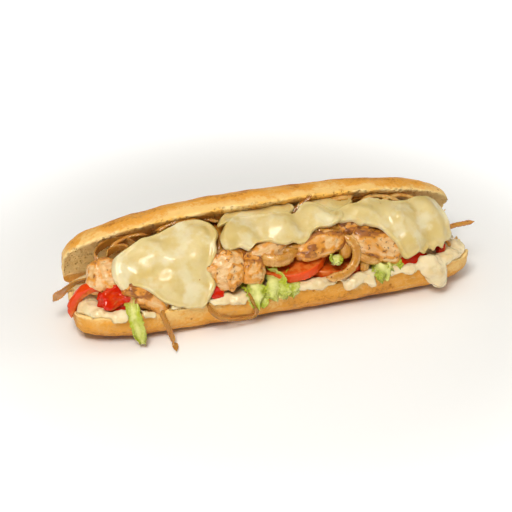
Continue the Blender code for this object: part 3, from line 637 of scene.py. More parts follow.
def blotches(tree, where, size, low, high, rough=0.55):
    """A mask that rises from 0 to 1 while soft noise of this size goes from low to high."""
    return add(tree, "ShaderNodeGroup", {"Vector": where, "Size": size, "Low": low, "High": high,
                                         "Rough": rough}, node_tree=blotch_group()).outputs["Mask"]


def specks(tree, where, spacing, radius, share):
    """A mask of dots: one for a share of the places, with its radius as a part of the spacing."""
    return add(tree, "ShaderNodeGroup", {"Vector": where, "Spacing": spacing, "Radius": radius,
                                         "Share": share}, node_tree=speck_group()).outputs["Mask"]


def new_material(name, roughness, flesh, depth, reach, coat=0.0):
    """A material, its shader and its object coordinates. Flesh lets light sink in."""
    material = bpy.data.materials.new(name)
    material.use_nodes = True
    tree = material.node_tree
    shader = tree.nodes["Principled BSDF"]
    shader.inputs["Roughness"].default_value = roughness
    shader.inputs["Subsurface Weight"].default_value = flesh
    shader.inputs["Subsurface Radius"].default_value = depth
    shader.inputs["Subsurface Scale"].default_value = reach
    shader.inputs["Coat Weight"].default_value = coat
    shader.inputs["Coat Roughness"].default_value = 0.12
    shader.inputs["Specular IOR Level"].default_value = 0.35
    where = tree.nodes.new("ShaderNodeTexCoord").outputs["Object"]
    return material, tree, shader, where


def attribute(tree, name, output="Fac"):
    return add(tree, "ShaderNodeAttribute", attribute_name=name).outputs[output]


def bump(tree, shader, height, distance, strength):
    made = add(tree, "ShaderNodeBump", {"Height": height, "Distance": distance, "Strength": strength})
    tree.links.new(made.outputs["Normal"], shader.inputs["Normal"])


def grain(tree, where, size, detail=3.0):
    return noise_field(tree, where, 1 / size, detail)


# Materials


def bread_material(look):
    """Baked crust that browns away from its cut rim and towards the ends, and darkens towards the lower
    half's base (real browning and painted shade), and a pale, porous crumb with painted shade in its pores.
    """
    material, tree, shader, where = new_material(
        "baked_bread", roughness=0.55, flesh=0.04, depth=(1.0, 0.6, 0.3), reach=0.002)
    shader.inputs["Specular IOR Level"].default_value = 0.12
    crumb = attribute(tree, "crumb")
    drawn = add(tree, "ShaderNodeMapping", {"Vector": where, "Scale": (0.45, 1.0, 1.0)}).outputs[0]
    patch = blotches(tree, where, 0.026, 0.36, 0.64, 0.5)
    streak = blotches(tree, drawn, 0.0070, 0.36, 0.66, 0.6)
    fine = blotches(tree, where, 0.0021, 0.36, 0.66, 0.6)
    # The stored browning carries real bake, and painted shade towards the lower half's base
    brown = times_plus(tree, minus(tree, patch, 0.5), 0.42, attribute(tree, "bake_and_base_shade"))
    brown = times_plus(tree, minus(tree, streak, 0.5), 0.24, brown)
    brown = times_plus(tree, minus(tree, fine, 0.5), 0.26, brown)
    crust = mix(tree, step(tree, brown, 0.10, 0.55), colour(look.pale_crust), colour(look.golden_crust))
    crust = mix(tree, step(tree, brown, 0.62, 1.10), crust, colour(look.brown_crust))
    dust = times(tree, blotches(tree, where, 0.011, 0.46, 0.66, 0.7), fine)
    crust = mix(tree, times(tree, dust, 0.3), crust, colour(look.flour))
    nicks = specks(tree, where, 0.010, 0.10, 0.22)
    crust = mix(tree, times(tree, nicks, 0.75), crust, colour(look.brown_crust))
    # Painted shade: the crumb is coloured darker in its pores, which the bump also sinks
    pores = step(tree, cell_distance(tree, where, 300.0), 0.08, 0.42, 1.0, 0.0)
    along_roll = maths(tree, "ABSOLUTE", add(tree, "ShaderNodeSeparateXYZ", {0: where}).outputs[0])
    middle = step(tree, along_roll, 0.085, 0.125, 1.0, 0.2)
    soaked = times(tree, blotches(tree, where, 0.014, 0.34, 0.58), middle)
    tint = mix(tree, soaked, colour(look.crumb), colour(look.buttery_crumb))
    inside = mix(tree, times(tree, pores, 0.20), tint, colour(look.pore_shade))
    tree.links.new(mix(tree, crumb, crust, inside), shader.inputs["Base Color"])
    matt = times_plus(tree, crumb, 0.3, times_plus(tree, streak, 0.14, 0.42))
    tree.links.new(matt, shader.inputs["Roughness"])
    rough = times_plus(tree, grain(tree, where, 0.0018, 5.0), 0.6, times(tree, streak, 0.5))
    rough = times_plus(tree, nicks, -0.6, rough)
    holes = times(tree, times(tree, pores, crumb), -1.4)
    bump(tree, shader, plus(tree, rough, holes), 0.0010, 0.9)
    return material


def sauce_material(look):
    """Thick cream sauce with fine dark specks."""
    material, tree, shader, where = new_material(
        "cream_sauce", roughness=0.18, flesh=0.35, depth=(1.0, 0.7, 0.4), reach=0.004, coat=0.40)
    base = mix(tree, blotches(tree, where, 0.010, 0.40, 0.65), colour(look.sauce), colour(look.deep_sauce))
    base = mix(tree, specks(tree, where, 0.0034, 0.12, 0.16), base, colour(look.speck))
    tree.links.new(base, shader.inputs["Base Color"])
    bump(tree, shader, grain(tree, where, 0.004, 2.0), 0.0012, 0.7)
    return material


def cheese_material(look):
    """Melted cheese: translucent, softly glossy, with deeper yellow and oily pools."""
    material, tree, shader, where = new_material(
        "melted_cheese", roughness=0.36, flesh=0.45, depth=(1.0, 0.78, 0.36), reach=0.005, coat=0.40)
    thick = blotches(tree, where, 0.024, 0.34, 0.68, 0.45)
    oily = times(tree, blotches(tree, where, 0.009, 0.52, 0.72, 0.6), 0.55)
    milky = times(tree, blotches(tree, where, 0.016, 0.46, 0.66, 0.5), 0.8)
    base = mix(tree, thick, colour(look.cheese), colour(look.deep_cheese))
    base = mix(tree, oily, base, colour(look.oily_cheese))
    base = mix(tree, milky, base, colour(look.milky_cheese))
    base = mix(tree, specks(tree, where, 0.009, 0.06, 0.25), base, colour(look.toasted_speck))
    tree.links.new(base, shader.inputs["Base Color"])
    shader.inputs["Coat Roughness"].default_value = 0.20
    gloss = times_plus(tree, blotches(tree, where, 0.012, 0.4, 0.7), 0.2, 0.28)
    tree.links.new(gloss, shader.inputs["Roughness"])
    soft = times_plus(tree, grain(tree, where, 0.003, 2.0), 0.25, grain(tree, where, 0.008, 1.0))
    bump(tree, shader, soft, 0.0014, 0.5)
    return material


def chicken_material(look):
    """Grilled breast meat: pale fibres, golden-brown edges and seared patches, char and pepper."""
    material, tree, shader, where = new_material(
        "grilled_chicken", roughness=0.38, flesh=0.12, depth=(1.0, 0.5, 0.25), reach=0.002, coat=0.35)
    along = attribute(tree, "along", "Vector")
    edge = attribute(tree, "edge")
    fibre = blotches(tree, along, 0.0030, 0.40, 0.62, 0.6)
    meat = mix(tree, fibre, colour(look.meat), colour(look.pink_meat))
    bend = noise_field(tree, where, 180.0, 2.0, output="Color")
    bent = vector_maths(tree, "ADD", along, stretched(tree, bend, 0.004))
    seam = step(tree, cell_distance(tree, bent, 300.0, "DISTANCE_TO_EDGE"), 0.0, 0.13, 1.0, 0.0)
    seam = times(tree, seam, blotches(tree, where, 0.007, 0.42, 0.60))
    meat = mix(tree, times(tree, seam, 0.25), meat, colour(look.golden_meat))
    patch = blotches(tree, where, 0.013, 0.38, 0.62, 0.6)
    heat = times_plus(tree, edge, 0.72, attribute(tree, "brown"))
    heat = times_plus(tree, minus(tree, patch, 0.5), 0.60, heat)
    meat = mix(tree, step(tree, heat, 0.26, 0.85), meat, colour(look.golden_meat))
    meat = mix(tree, step(tree, heat, 0.75, 1.40), meat, colour(look.seared_meat))
    spots = plus(tree, blotches(tree, where, 0.0030, 0.44, 0.70, 0.6), attribute(tree, "char"))
    deep = step(tree, times_plus(tree, heat, 0.35, spots), 0.95, 1.50)
    meat = mix(tree, times(tree, deep, 0.85), meat, colour(look.charred_meat))
    meat = mix(tree, specks(tree, where, 0.0036, 0.09, 0.20), meat, colour(look.pepper))
    tree.links.new(meat, shader.inputs["Base Color"])
    gloss = times_plus(tree, patch, 0.22, 0.26)
    tree.links.new(gloss, shader.inputs["Roughness"])
    rough = times_plus(tree, plus(tree, deep, times(tree, seam, 0.6)), -0.3, grain(tree, along, 0.0018, 4.0))
    bump(tree, shader, rough, 0.0010, 0.7)
    return material


def onion_material(name, look, brown, clear=False):
    """Fried onion: sweet translucent flesh with darker veins along the strand and browned sides."""
    material, tree, shader, where = new_material(
        name, roughness=0.14, flesh=0.35, depth=(1.0, 0.5, 0.2), reach=0.004, coat=0.5)
    around = attribute(tree, "round_share")
    down = times(tree, attribute(tree, "length_share"), 3.0)
    drawn = add(tree, "ShaderNodeCombineXYZ", {0: times(tree, around, 9.0), 1: down}).outputs[0]
    veins = noise_field(tree, drawn, 2.2, 3.0)
    side = maths(tree, "ABSOLUTE", maths(tree, "SINE", times(tree, around, 2 * math.pi)))
    patch = blotches(tree, where, 0.006, 0.38, 0.64)
    deep = plus(tree, times_plus(tree, patch, 0.40, brown), times(tree, veins, 0.4))
    deep = times_plus(tree, step(tree, side, 0.75, 1.0), 0.25, deep)
    base = mix(tree, step(tree, deep, 0.15, 0.85), colour(look.pale_onion), colour(look.golden_onion))
    base = mix(tree, step(tree, deep, 0.95, 1.6), base, colour(look.dark_onion))
    base = mix(tree, specks(tree, where, 0.0032, 0.15, 0.30), base, colour(look.dark_onion))
    tree.links.new(base, shader.inputs["Base Color"])
    if clear:
        solid = times_plus(tree, step(tree, side, 0.55, 0.95), 0.35, 0.65)
        tree.links.new(solid, shader.inputs["Alpha"])
    bump(tree, shader, veins, 0.0006, 0.7)
    return material


def tomato_material(look):
    """Wet tomato: red skin round orange-red flesh with paler streaks."""
    material, tree, shader, where = new_material(
        "ripe_tomato", roughness=0.12, flesh=0.15, depth=(1.0, 0.2, 0.05), reach=0.002, coat=0.22)
    shader.inputs["Specular IOR Level"].default_value = 0.22
    rind = attribute(tree, "rind")
    streak = blotches(tree, where, 0.005, 0.40, 0.62)
    flesh = mix(tree, streak, colour(look.flesh), colour(look.pale_flesh))
    skin = mix(tree, attribute(tree, "deep"), colour(look.bright_skin), colour(look.skin))
    pale = times(tree, blotches(tree, where, 0.010, 0.48, 0.70), 0.4)
    skin = mix(tree, pale, skin, colour(look.flesh))
    base = mix(tree, rind, flesh, skin)
    tree.links.new(base, shader.inputs["Base Color"])
    bump(tree, shader, grain(tree, where, 0.003, 3.0), 0.0005, 0.5)
    return material


def lettuce_material(look):
    """Thin leaf: pale rib, bright yellow-green edges and branching veins."""
    material, tree, shader, where = new_material(
        "crisp_lettuce", roughness=0.26, flesh=0.25, depth=(0.7, 1.0, 0.2), reach=0.003, coat=0.25)
    across = maths(tree, "ABSOLUTE", attribute(tree, "across"))
    tint = times_plus(tree, grain(tree, where, 0.007), 1.4, times(tree, across, 0.35))
    base = mix(tree, step(tree, tint, 0.50, 1.15), colour(look.rib), colour(look.leaf))
    vein = step(tree, cell_distance(tree, where, 190.0, "DISTANCE_TO_EDGE"), 0.0, 0.12, 1.0, 0.0)
    base = mix(tree, times(tree, vein, 0.12), base, colour(look.rib))
    tree.links.new(base, shader.inputs["Base Color"])
    bump(tree, shader, vein, 0.0003, 0.3)
    return material


# Making the pieces


def make_roll(look):
    """The roll: crust, rims and torn crumb in one skin."""
    roll = merged_copy(["bread_roll"], "baked_roll")
    one_skin(roll, 1.4 * MM, 8)
    points, facing = places(roll), normals(roll)
    x, y, z = (points - np.array(ROLL_MIDDLE)).T
    cut_height, hinge, lid_base, rim_width = 27 * MM, 33 * MM, 25.5 * MM, 9 * MM
    upright = soft_step(0.35, 0.75, facing[:, 2]) * (z < cut_height) * (y < hinge)
    inward = soft_step(0.02, 0.42, -(facing @ np.array(LID_OUTWARD)))
    depth = (points - np.array(LID_MIDDLE)) @ np.array(LID_OUTWARD)
    lid = z > lid_base
    store(roll, "crumb", np.maximum(upright, inward * (depth < rim_width) * lid))
    ends = soft_step(105 * MM, 152 * MM, np.abs(x))
    lid_bake = 0.04 + 0.52 * soft_step(0, 11 * MM, depth) + 0.40 * soft_step(10 * MM, 24 * MM, depth)
    # Lower half: darker towards the base, partly the crust's real browning and partly painted shade where the
    # roll meets the floor
    lower_bake_and_base_shade = 0.28 + 0.28 * soft_step(24 * MM, 11 * MM, z) + 0.40 * soft_step(11 * MM, 1 * MM, z)
    store(roll, "bake_and_base_shade", np.where(lid, lid_bake + 0.10 * ends, lower_bake_and_base_shade + 0.05 * ends))
    use_tree(roll, bread_tree(), Crust_Height=look.crust_relief, Pore_Size=look.pore_size,
             Pore_Depth=look.pore_depth, Material=bread_material(look))
    settle(roll, ["bread_roll"])


def make_sauce(look):
    """The sauce bed with its dollops and drips."""
    sauce = merged_copy(["white_sauce"], "cream_sauce")
    one_skin(sauce, 1.0 * MM, 6, growth=1.2 * MM)
    store(sauce, "along", places(sauce))
    use_tree(sauce, relief_tree(), Lump_Size=0.007, Lump_Height=2.4 * MM, Grain_Size=0.004,
             Grain_Height=0.7 * MM, Material=sauce_material(look))
    settle(sauce, ["white_sauce"])


def on_mound(x, angle, lift):
    """Places over the filling: x along the roll, angle round the mound from the front (0) to the top (90)."""
    station = np.minimum(0.98, np.abs(x) / MOUND_HALF_LENGTH)
    narrow = (1 - station ** 4) ** 0.35
    low = (1 - station ** 5) ** 0.5
    turn = np.radians(angle)
    y = narrow * (MOUND_BACK - (MOUND_DEPTH + lift) * np.cos(turn))
    z = MOUND_BASE + low * (MOUND_HEIGHT + lift) * np.sin(turn)
    return np.stack((x, y, z), axis=-1) * MM + np.array(ROLL_MIDDLE)


def closed_outline(points, shares):
    """Places at shares of the way round a smooth closed curve through the points."""
    points = np.array(points, dtype=float)
    position = shares * len(points)
    index = np.floor(position).astype(int) % len(points)
    t = (position - np.floor(position))[:, None]
    a, b, c, d = (points[(index + ahead) % len(points)] for ahead in (-1, 0, 1, 2))
    square, cube = 2 * a - 5 * b + 4 * c - d, 3 * b - a - 3 * c + d
    return 0.5 * (2 * b + (c - a) * t + square * t ** 2 + cube * t ** 3)


def swell(x, angle):
    """How far the cheese rises or sags at places on the mound, in millimetres."""
    total = np.zeros(len(x))
    for at_x, at_angle, along, round_mound, height in CHEESE_SWELLS:
        total += height * np.exp(-((x - at_x) / along) ** 2 - ((angle - at_angle) / round_mound) ** 2)
    for from_x, from_angle, to_x, to_angle, width, height in CHEESE_FOLDS:
        way = np.array((to_x - from_x, to_angle - from_angle))
        share = np.clip(((x - from_x) * way[0] + (angle - from_angle) * way[1]) / (way @ way), 0, 1)
        apart = np.hypot(x - from_x - share * way[0], angle - from_angle - share * way[1])
        total += FOLD_RISE * height * np.exp(-(apart / width) ** 2)
    return total


def melted_sheet(name, centre, thickness, lift, outline, seed, bead):
    """A soft pillow whose rim follows the outline, laid over the mound and thickest at its running rim."""
    bm = bmesh.new()
    bmesh.ops.create_uvsphere(bm, u_segments=240, v_segments=64, radius=1.0)
    mesh = bpy.data.meshes.new(name)
    bm.to_mesh(mesh)
    bm.free()
    sheet = link(bpy.data.objects.new(name, mesh))
    ball = places(sheet)
    out = np.minimum(1.0, np.hypot(ball[:, 0], ball[:, 1]))
    shares = np.arctan2(ball[:, 1], ball[:, 0]) / (2 * math.pi) % 1.0
    spread = (out ** 0.7)[:, None]
    x, angle = (np.array(centre) * (1 - spread) + closed_outline(outline, shares) * spread).T
    body = thickness / 2 * np.sign(ball[:, 2]) * np.abs(ball[:, 2]) ** 0.6
    # Broad and small lumps, and a bead on top near the rim, all in millimetres
    lumps = np.array([2.2 * noise.noise(Vector((px * 0.06, pa * 0.05, seed)))
                      + 0.6 * noise.noise(Vector((px * 0.15, pa * 0.12, seed))) for px, pa in zip(x, angle)])
    rim = bead * np.exp(-((out - 0.90) / 0.07) ** 2) * (ball[:, 2] > 0)
    points = on_mound(x, angle, lift + body + lumps + swell(x, angle) + rim)
    mesh.vertices.foreach_set("co", points.ravel())
    mesh.update()
    return sheet


def make_cheese(look):
    """Each melted sheet, lumpy over what it covers."""
    material = cheese_material(look)
    for number, (node, centre, thickness, lift, outline) in enumerate(CHEESE):
        name = node.replace("cheese", "melted")
        sheet = melted_sheet(name, centre, thickness, lift, outline, 4.0 * number, look.rim_bead / MM)
        one_skin(sheet, 0.8 * MM, 3)
        store(sheet, "along", places(sheet))
        use_tree(sheet, relief_tree(), Lump_Size=0.013, Lump_Height=look.lump_height, Grain_Size=0.006,
                 Grain_Height=0.12 * MM, Seed=3.7 * number, Material=material)
        settle(sheet, [node])


def make_chicken(look):
    """Each piece of meat with fibres along its length and its own browning, and the heap under them."""
    material = chicken_material(look)
    for number, (node, centre, size, lean, yaw, brown, char) in enumerate(CHICKEN):
        name = node.replace("chicken", "grilled")
        piece = chunk(name, size, 11.0 + 2.37 * number, boxiness=2.8, unevenness=0.22)
        one_skin(piece, 0.75 * MM, 2)
        store(piece, "along", places(piece) * np.array((0.13, 1.0, 1.0)) + 0.05 * number)
        edge = convex_edges(piece)
        piece.data.transform(placing(centre, lean, yaw))
        store(piece, "edge", soft_step(0.10 * MM, 0.50 * MM, edge))
        upper = soft_step(0.2, 0.95, normals(piece)[:, 2])
        store(piece, "brown", brown - 0.08 + 0.40 * upper)
        store(piece, "char", np.full(len(edge), char))
        use_tree(piece, relief_tree(), Lump_Size=0.011, Lump_Height=look.lump_height, Grain_Size=0.0032,
                 Grain_Height=look.fibre_height, Seed=1.9 * number, Material=material)
        settle(piece, [node])
    heap = merged_copy(["chicken_heap"], "grilled_heap")
    one_skin(heap, 1.4 * MM, 6)
    along = places(heap)
    store(heap, "along", along)
    store(heap, "round_share", along[:, 2] * 40)
    store(heap, "length_share", along[:, 0] * 12)
    fried = onion_material("fried_heap", bpy.context.scene.sandwich_onion, 0.6)
    use_tree(heap, relief_tree(), Lump_Size=0.009, Lump_Height=2.2 * MM, Grain_Size=0.003,
             Grain_Height=0.8 * MM, Seed=5.0, Material=fried)
    settle(heap, ["chicken_heap"])


def route_mesh(name, points, facing, steps=14):
    """A chain of edges along a smooth curve through the points, each with the way its face looks."""
    knots = [2 * points[0] - points[1], *points, 2 * points[-1] - points[-2]]
    chain, looks = [], []
    for index in range(len(points) - 1):
        before, start, end, after = knots[index:index + 4]
        leaving, arriving = start + (end - before) / 6, end - (after - start) / 6
        bend = interpolate_bezier(start, leaving, arriving, end, steps + 1)
        for place in bend[:-1] if index < len(points) - 2 else bend:
            chain.append(place)
            looks.append(facing(place))
    mesh = bpy.data.meshes.new(name)
    mesh.from_pydata(chain, [(i, i + 1) for i in range(len(chain) - 1)], [])
    obj = link(bpy.data.objects.new(name, mesh))
    store(obj, "facing", looks)
    return obj


def away_from_mound(place):
    out = place - MOUND_AXIS
    return Vector((0, out.y, out.z)).normalized()


def make_onion(look):
    """Fried strands and ring parts, swept along their routes, and a few cooked lumps."""
    tree = strand_tree()
    materials = {}
    clear = onion_material("clear_fried_onion", look, 0.5, clear=True)

    def fried(brown):
        if brown not in materials:
            materials[brown] = onion_material(f"fried_onion_{round(brown * 100)}", look, brown)
        return materials[brown]

    for number, (node, (width, thickness, brown, route)) in enumerate(STRANDS.items()):
        points = [ROLL_MIDDLE + Vector(point) * MM for point in route]
        strand = route_mesh("fried_" + node.split("_", 1)[1], points, away_from_mound)
        own = clear if node in CLEAR_STRANDS else fried(brown)
        use_tree(strand, tree, Width=width * MM, Thickness=thickness * MM, Hollow=0.22, Wobble=1.2 * MM,
                 Seed=2.3 * number, Material=own)
        settle(strand, [node])
    for number, (node, row) in enumerate(RINGS.items()):
        middle, radii, start, end, band, wall, lean, yaw, brown = row
        turn = Matrix.Rotation(math.radians(lean), 3, "X") @ Matrix.Rotation(math.radians(yaw), 3, "Z")
        centre = ROLL_MIDDLE + Vector(middle) * MM
        points = []
        for share in range(9):
            angle = math.radians(start + (end - start) * share / 8)
            wave = 0.8 * math.sin(2.3 * angle)
            flat = Vector((radii[0] * math.cos(angle), radii[1] * math.sin(angle), wave))
            points.append(centre + turn @ flat * MM)
        name = "ring_" + node.split("_", 1)[1]
        ring = route_mesh(name, points, lambda place: (place - centre).normalized(), 8)
        use_tree(ring, tree, Width=band * MM, Thickness=wall * MM, Hollow=0.06, Wobble=0.8 * MM,
                 Seed=20 + 1.7 * number, Material=fried(brown))
        settle(ring, [node])
    for number, (width, brown, route) in enumerate(LOOSE_STRANDS):
        points = [Vector(on_mound(x, angle, lift)) for x, angle, lift in route]
        strand = route_mesh(f"loose_strand_{number}", points, away_from_mound)
        use_tree(strand, tree, Width=width * MM, Thickness=1.8 * MM, Hollow=0.2, Wobble=2.0 * MM,
                 Seed=50 + 3.1 * number, Material=fried(brown))
        settle(strand, [])
    for node, brown in ONION_LUMPS:
        lump = merged_copy([node], "soft_" + node.split("_", 1)[1])
        one_skin(lump, 0.6 * MM, 2)
        along = own_axes(lump) * np.array((0.2, 1.0, 1.0))
        store(lump, "along", along)
        store(lump, "round_share", along[:, 1] * 60)
        store(lump, "length_share", along[:, 0] * 60)
        use_tree(lump, relief_tree(), Lump_Size=6 * MM, Lump_Height=0.9 * MM, Grain_Size=2 * MM,
                 Grain_Height=0.5 * MM, Material=fried(brown))
        settle(lump, [node])


def finish_tomato(piece, node, along, rind, deep, seed, material):
    """Relief and material of one piece, red where it is rind and darker red where it is deep."""
    store(piece, "along", along)
    store(piece, "rind", rind)
    store(piece, "deep", np.full(len(along), deep))
    use_tree(piece, relief_tree(), Lump_Size=0.008, Lump_Height=0.8 * MM, Grain_Size=0.003,
             Grain_Height=0.25 * MM, Seed=seed, Material=material)
    settle(piece, [node])


def make_tomato(look):
    """Slices with a skin edge, and torn chunks that are mostly skin."""
    material = tomato_material(look)
    for number, node in enumerate(("tomato_slice_right", "tomato_slice_mid", "tomato_left_rim")):
        piece = merged_copy([node], node.replace("tomato", "ripe"))
        one_skin(piece, 0.6 * MM, 2)
        along = own_axes(piece)
        if "slice" in node:
            out = np.hypot(along[:, 0], along[:, 1])
            rind = soft_step(0.945, 0.975, out / out.max())
        else:
            rind = soft_step(0.10, 0.40, normals(piece) @ np.array((-0.72, -0.20, 0.66)))
        finish_tomato(piece, node, along, rind, 0.35 if "rim" in node else 0.0, 1.3 * number, material)
    for number, (node, centre, size, lean, yaw) in enumerate(TOMATO_CHUNKS):
        name = node.replace("tomato", "ripe")
        piece = chunk(name, size, 40.0 + 2.37 * number, boxiness=4.5, unevenness=0.28)
        one_skin(piece, 0.6 * MM, 1)
        piece.data.transform(placing(centre, lean, yaw))
        cut_side = soft_step(0.15, 0.55, normals(piece) @ np.array((0.75, -0.1, -0.6)))
        finish_tomato(piece, node, places(piece), 0.95 - 0.8 * cut_side, 1.0, 4.0 + 1.3 * number, material)


def make_lettuce(look):
    """Ruffled shreds that hang over the lip."""
    tree, material = leaf_tree(), lettuce_material(look)
    for number, (node, (width, fold, folds, route)) in enumerate(SHREDS.items()):
        points = [ROLL_MIDDLE + Vector(point) * MM for point in route]
        shred = route_mesh(node.replace("lettuce", "leaf"), points, away_from_mound)
        use_tree(shred, tree, Width=width * MM, Fold_Height=fold * MM, Folds=folds, Seed=4.1 * number,
                 Material=material)
        leaf = shred.modifiers.new("leaf", "SOLIDIFY")
        leaf.thickness = 0.5 * MM
        leaf.offset = 0.0
        apply_modifiers(shred)
        settle(shred, [node])


def floor_material(look):
    """Matt and pale, and giving off more light the further it is from the sandwich."""
    material = bpy.data.materials.new("studio_floor")
    material.use_nodes = True
    tree = material.node_tree
    shader = tree.nodes["Principled BSDF"]
    shader.inputs["Base Color"].default_value = colour(look.floor)
    shader.inputs["Roughness"].default_value = 0.8
    where = tree.nodes.new("ShaderNodeTexCoord").outputs["Object"]
    reach = add(tree, "ShaderNodeVectorMath", {0: where}, operation="LENGTH").outputs["Value"]
    glow = times(tree, step(tree, reach, 0.16, 0.45), look.floor_glow)
    glow = mix(tree, glow, colour((0.0, 0.0, 0.0)), colour((1.0, 1.0, 1.0)))
    tree.links.new(glow, shader.inputs["Emission Color"])
    shader.inputs["Emission Strength"].default_value = 1.0
    return material


def make_stage(look):
    """Pale floor, softbox, front and side fill, wide ceiling light and the camera."""
    floor_mesh = bpy.data.meshes.new("studio_floor")
    half = 3.0
    corners = [(-half, -half, 0), (half, -half, 0), (half, half, 0), (-half, half, 0)]
    floor_mesh.from_pydata(corners, [], [(0, 1, 2, 3)])
    floor_mesh.materials.append(floor_material(look))
    floor = link(bpy.data.objects.new("studio_floor", floor_mesh))
    # Each light's name, place, size and power
    lights = (("softbox_above", (-0.38, -0.58, 0.96), 0.38, look.key_power),
              ("fill_front", (-0.42, -0.95, 0.15), 0.5, look.fill_power),
              ("fill_right", (0.9, -0.2, 0.5), 0.5, look.side_power),
              ("ceiling", (0.0, 0.3, 2.2), 3.0, look.ceiling_power))
    for name, place, size, power in lights:
        light = bpy.data.lights.new(name, "AREA")
        light.size = size
        light.energy = power
        light.color = look.light_colour
        lamp = link(bpy.data.objects.new(name, light))
        lamp.location = place
        lamp.rotation_euler = (SANDWICH_MIDDLE - lamp.location).to_track_quat("-Z", "Y").to_euler()
    world = bpy.data.worlds.new("studio")
    bpy.context.scene.world = world
    world.use_nodes = True
    sky = world.node_tree.nodes["Background"]
    sky.inputs["Color"].default_value = (1.0, 1.0, 1.0, 1.0)
    sky.inputs["Strength"].default_value = look.sky
    bpy.context.scene.view_settings.view_transform = "Standard"
    camera = bpy.data.cameras.new("photo_view")
    camera.lens = look.lens
    camera.clip_start = 0.05
    viewer = link(bpy.data.objects.new("photo_view", camera))
    azimuth, elevation = look.azimuth, look.elevation
    level = math.cos(elevation)
    back = Vector((math.sin(azimuth) * level, -math.cos(azimuth) * level, math.sin(elevation)))
    right = Vector((math.cos(azimuth), math.sin(azimuth), 0))
    viewer.rotation_mode = "QUATERNION"
    viewer.rotation_quaternion = Matrix((right, back.cross(right), back)).transposed().to_quaternion()
    viewer.location = ROLL_MIDDLE + CAMERA_PLACE
    bpy.context.scene.camera = viewer


# Settings, operators and panel


def tone(name, description, default):
    return bpy.props.FloatVectorProperty(name=name, description=description, subtype="COLOR", size=3,
                                         min=0, max=1, default=default)


def length(name, description, default):
    return bpy.props.FloatProperty(name=name, description=description, unit="LENGTH", default=default, min=0)


def amount(name, description, unit, default):
    return bpy.props.FloatProperty(name=name, description=description, unit=unit, default=default)


class SandwichRoll(bpy.types.PropertyGroup):
    """Crust and crumb"""
    crust_relief: length("Crust relief", "How deep the crust's wrinkles are", 2.4 * MM)
    pore_size: length("Pore size", "Distance between pores in the crumb", 3.4 * MM)
    pore_depth: length("Pore depth", "How deep the pores are", 0.9 * MM)
    pale_crust: tone("Pale crust", "Crust where it baked least", (0.86, 0.55, 0.19))
    golden_crust: tone("Golden crust", "Most of the crust", (0.79, 0.36, 0.055))
    brown_crust: tone("Brown crust", "Crust where it baked most", (0.46, 0.15, 0.016))
    crumb: tone("Crumb", "Soft inside of the roll", (0.98, 0.74, 0.35))
    buttery_crumb: tone("Buttery crumb", "Crumb where fat has soaked in", (0.95, 0.54, 0.12))
    flour: tone("Flour", "Light dusting on the crust", (0.92, 0.64, 0.29))
    # Painted shade in the crumb's pores
    pore_shade: tone("Pore", "Depth of the crumb's pores", (0.62, 0.34, 0.09))


class SandwichSauce(bpy.types.PropertyGroup):
    """White sauce"""
    sauce: tone("Sauce", "Thick part of the sauce", (0.83, 0.70, 0.44))
    deep_sauce: tone("Thin sauce", "Sauce where it lies thin", (0.77, 0.60, 0.32))
    speck: tone("Herb speck", "Fine herbs and pepper in the sauce", (0.16, 0.10, 0.03))


class SandwichCheese(bpy.types.PropertyGroup):
    """Melted cheese"""
    lump_height: length("Lump height", "How far small lumps rise on the sheets", 0.35 * MM)
    rim_bead: length("Rim bead", "How much the running rim is thickened", 1.7 * MM)
    cheese: tone("Cheese", "Main colour", (0.70, 0.565, 0.265))
    deep_cheese: tone("Deep cheese", "Where the sheet is thick", (0.64, 0.48, 0.17))
    oily_cheese: tone("Oily cheese", "Small pools of fat", (0.64, 0.43, 0.11))
    milky_cheese: tone("Milky cheese", "Where the sheet has curdled paler", (0.77, 0.69, 0.45))
    toasted_speck: tone("Toasted speck", "Tiny browned dots", (0.45, 0.20, 0.05))


class SandwichChicken(bpy.types.PropertyGroup):
    """Grilled chicken"""
    lump_height: length("Lump height", "How uneven the pieces are", 1.2 * MM)
    fibre_height: length("Fibre height", "How far the fibres stand out", 0.45 * MM)
    meat: tone("Meat", "Pale cooked meat", (0.81, 0.55, 0.275))
    pink_meat: tone("Between fibres", "Warmer tone between the fibres", (0.72, 0.40, 0.145))
    golden_meat: tone("Golden meat", "Lightly grilled meat", (0.72, 0.30, 0.036))
    seared_meat: tone("Seared meat", "Brown seared patches", (0.34, 0.11, 0.015))
    charred_meat: tone("Charred meat", "Darkest grill marks", (0.16, 0.05, 0.015))
    pepper: tone("Pepper", "Ground black pepper", (0.05, 0.03, 0.02))


class SandwichOnion(bpy.types.PropertyGroup):
    """Fried onion"""
    pale_onion: tone("Pale onion", "Onion that has only softened", (0.80, 0.50, 0.17))
    golden_onion: tone("Golden onion", "Onion that has coloured", (0.56, 0.25, 0.035))
    dark_onion: tone("Dark onion", "Onion fried darkest", (0.26, 0.09, 0.011))


class SandwichTomato(bpy.types.PropertyGroup):
    """Tomato"""
    skin: tone("Skin", "Outer skin", (0.60, 0.012, 0.001))
    bright_skin: tone("Bright skin", "Skin round the slices", (0.78, 0.075, 0.004))
    flesh: tone("Flesh", "Cut flesh", (0.62, 0.085, 0.006))
    pale_flesh: tone("Pale flesh", "Streaks in the flesh", (0.70, 0.18, 0.03))


class SandwichLettuce(bpy.types.PropertyGroup):
    """Lettuce"""
    leaf: tone("Leaf", "Green of a shred", (0.42, 0.48, 0.025))
    rib: tone("Rib", "Pale middle of a shred", (0.80, 0.82, 0.30))


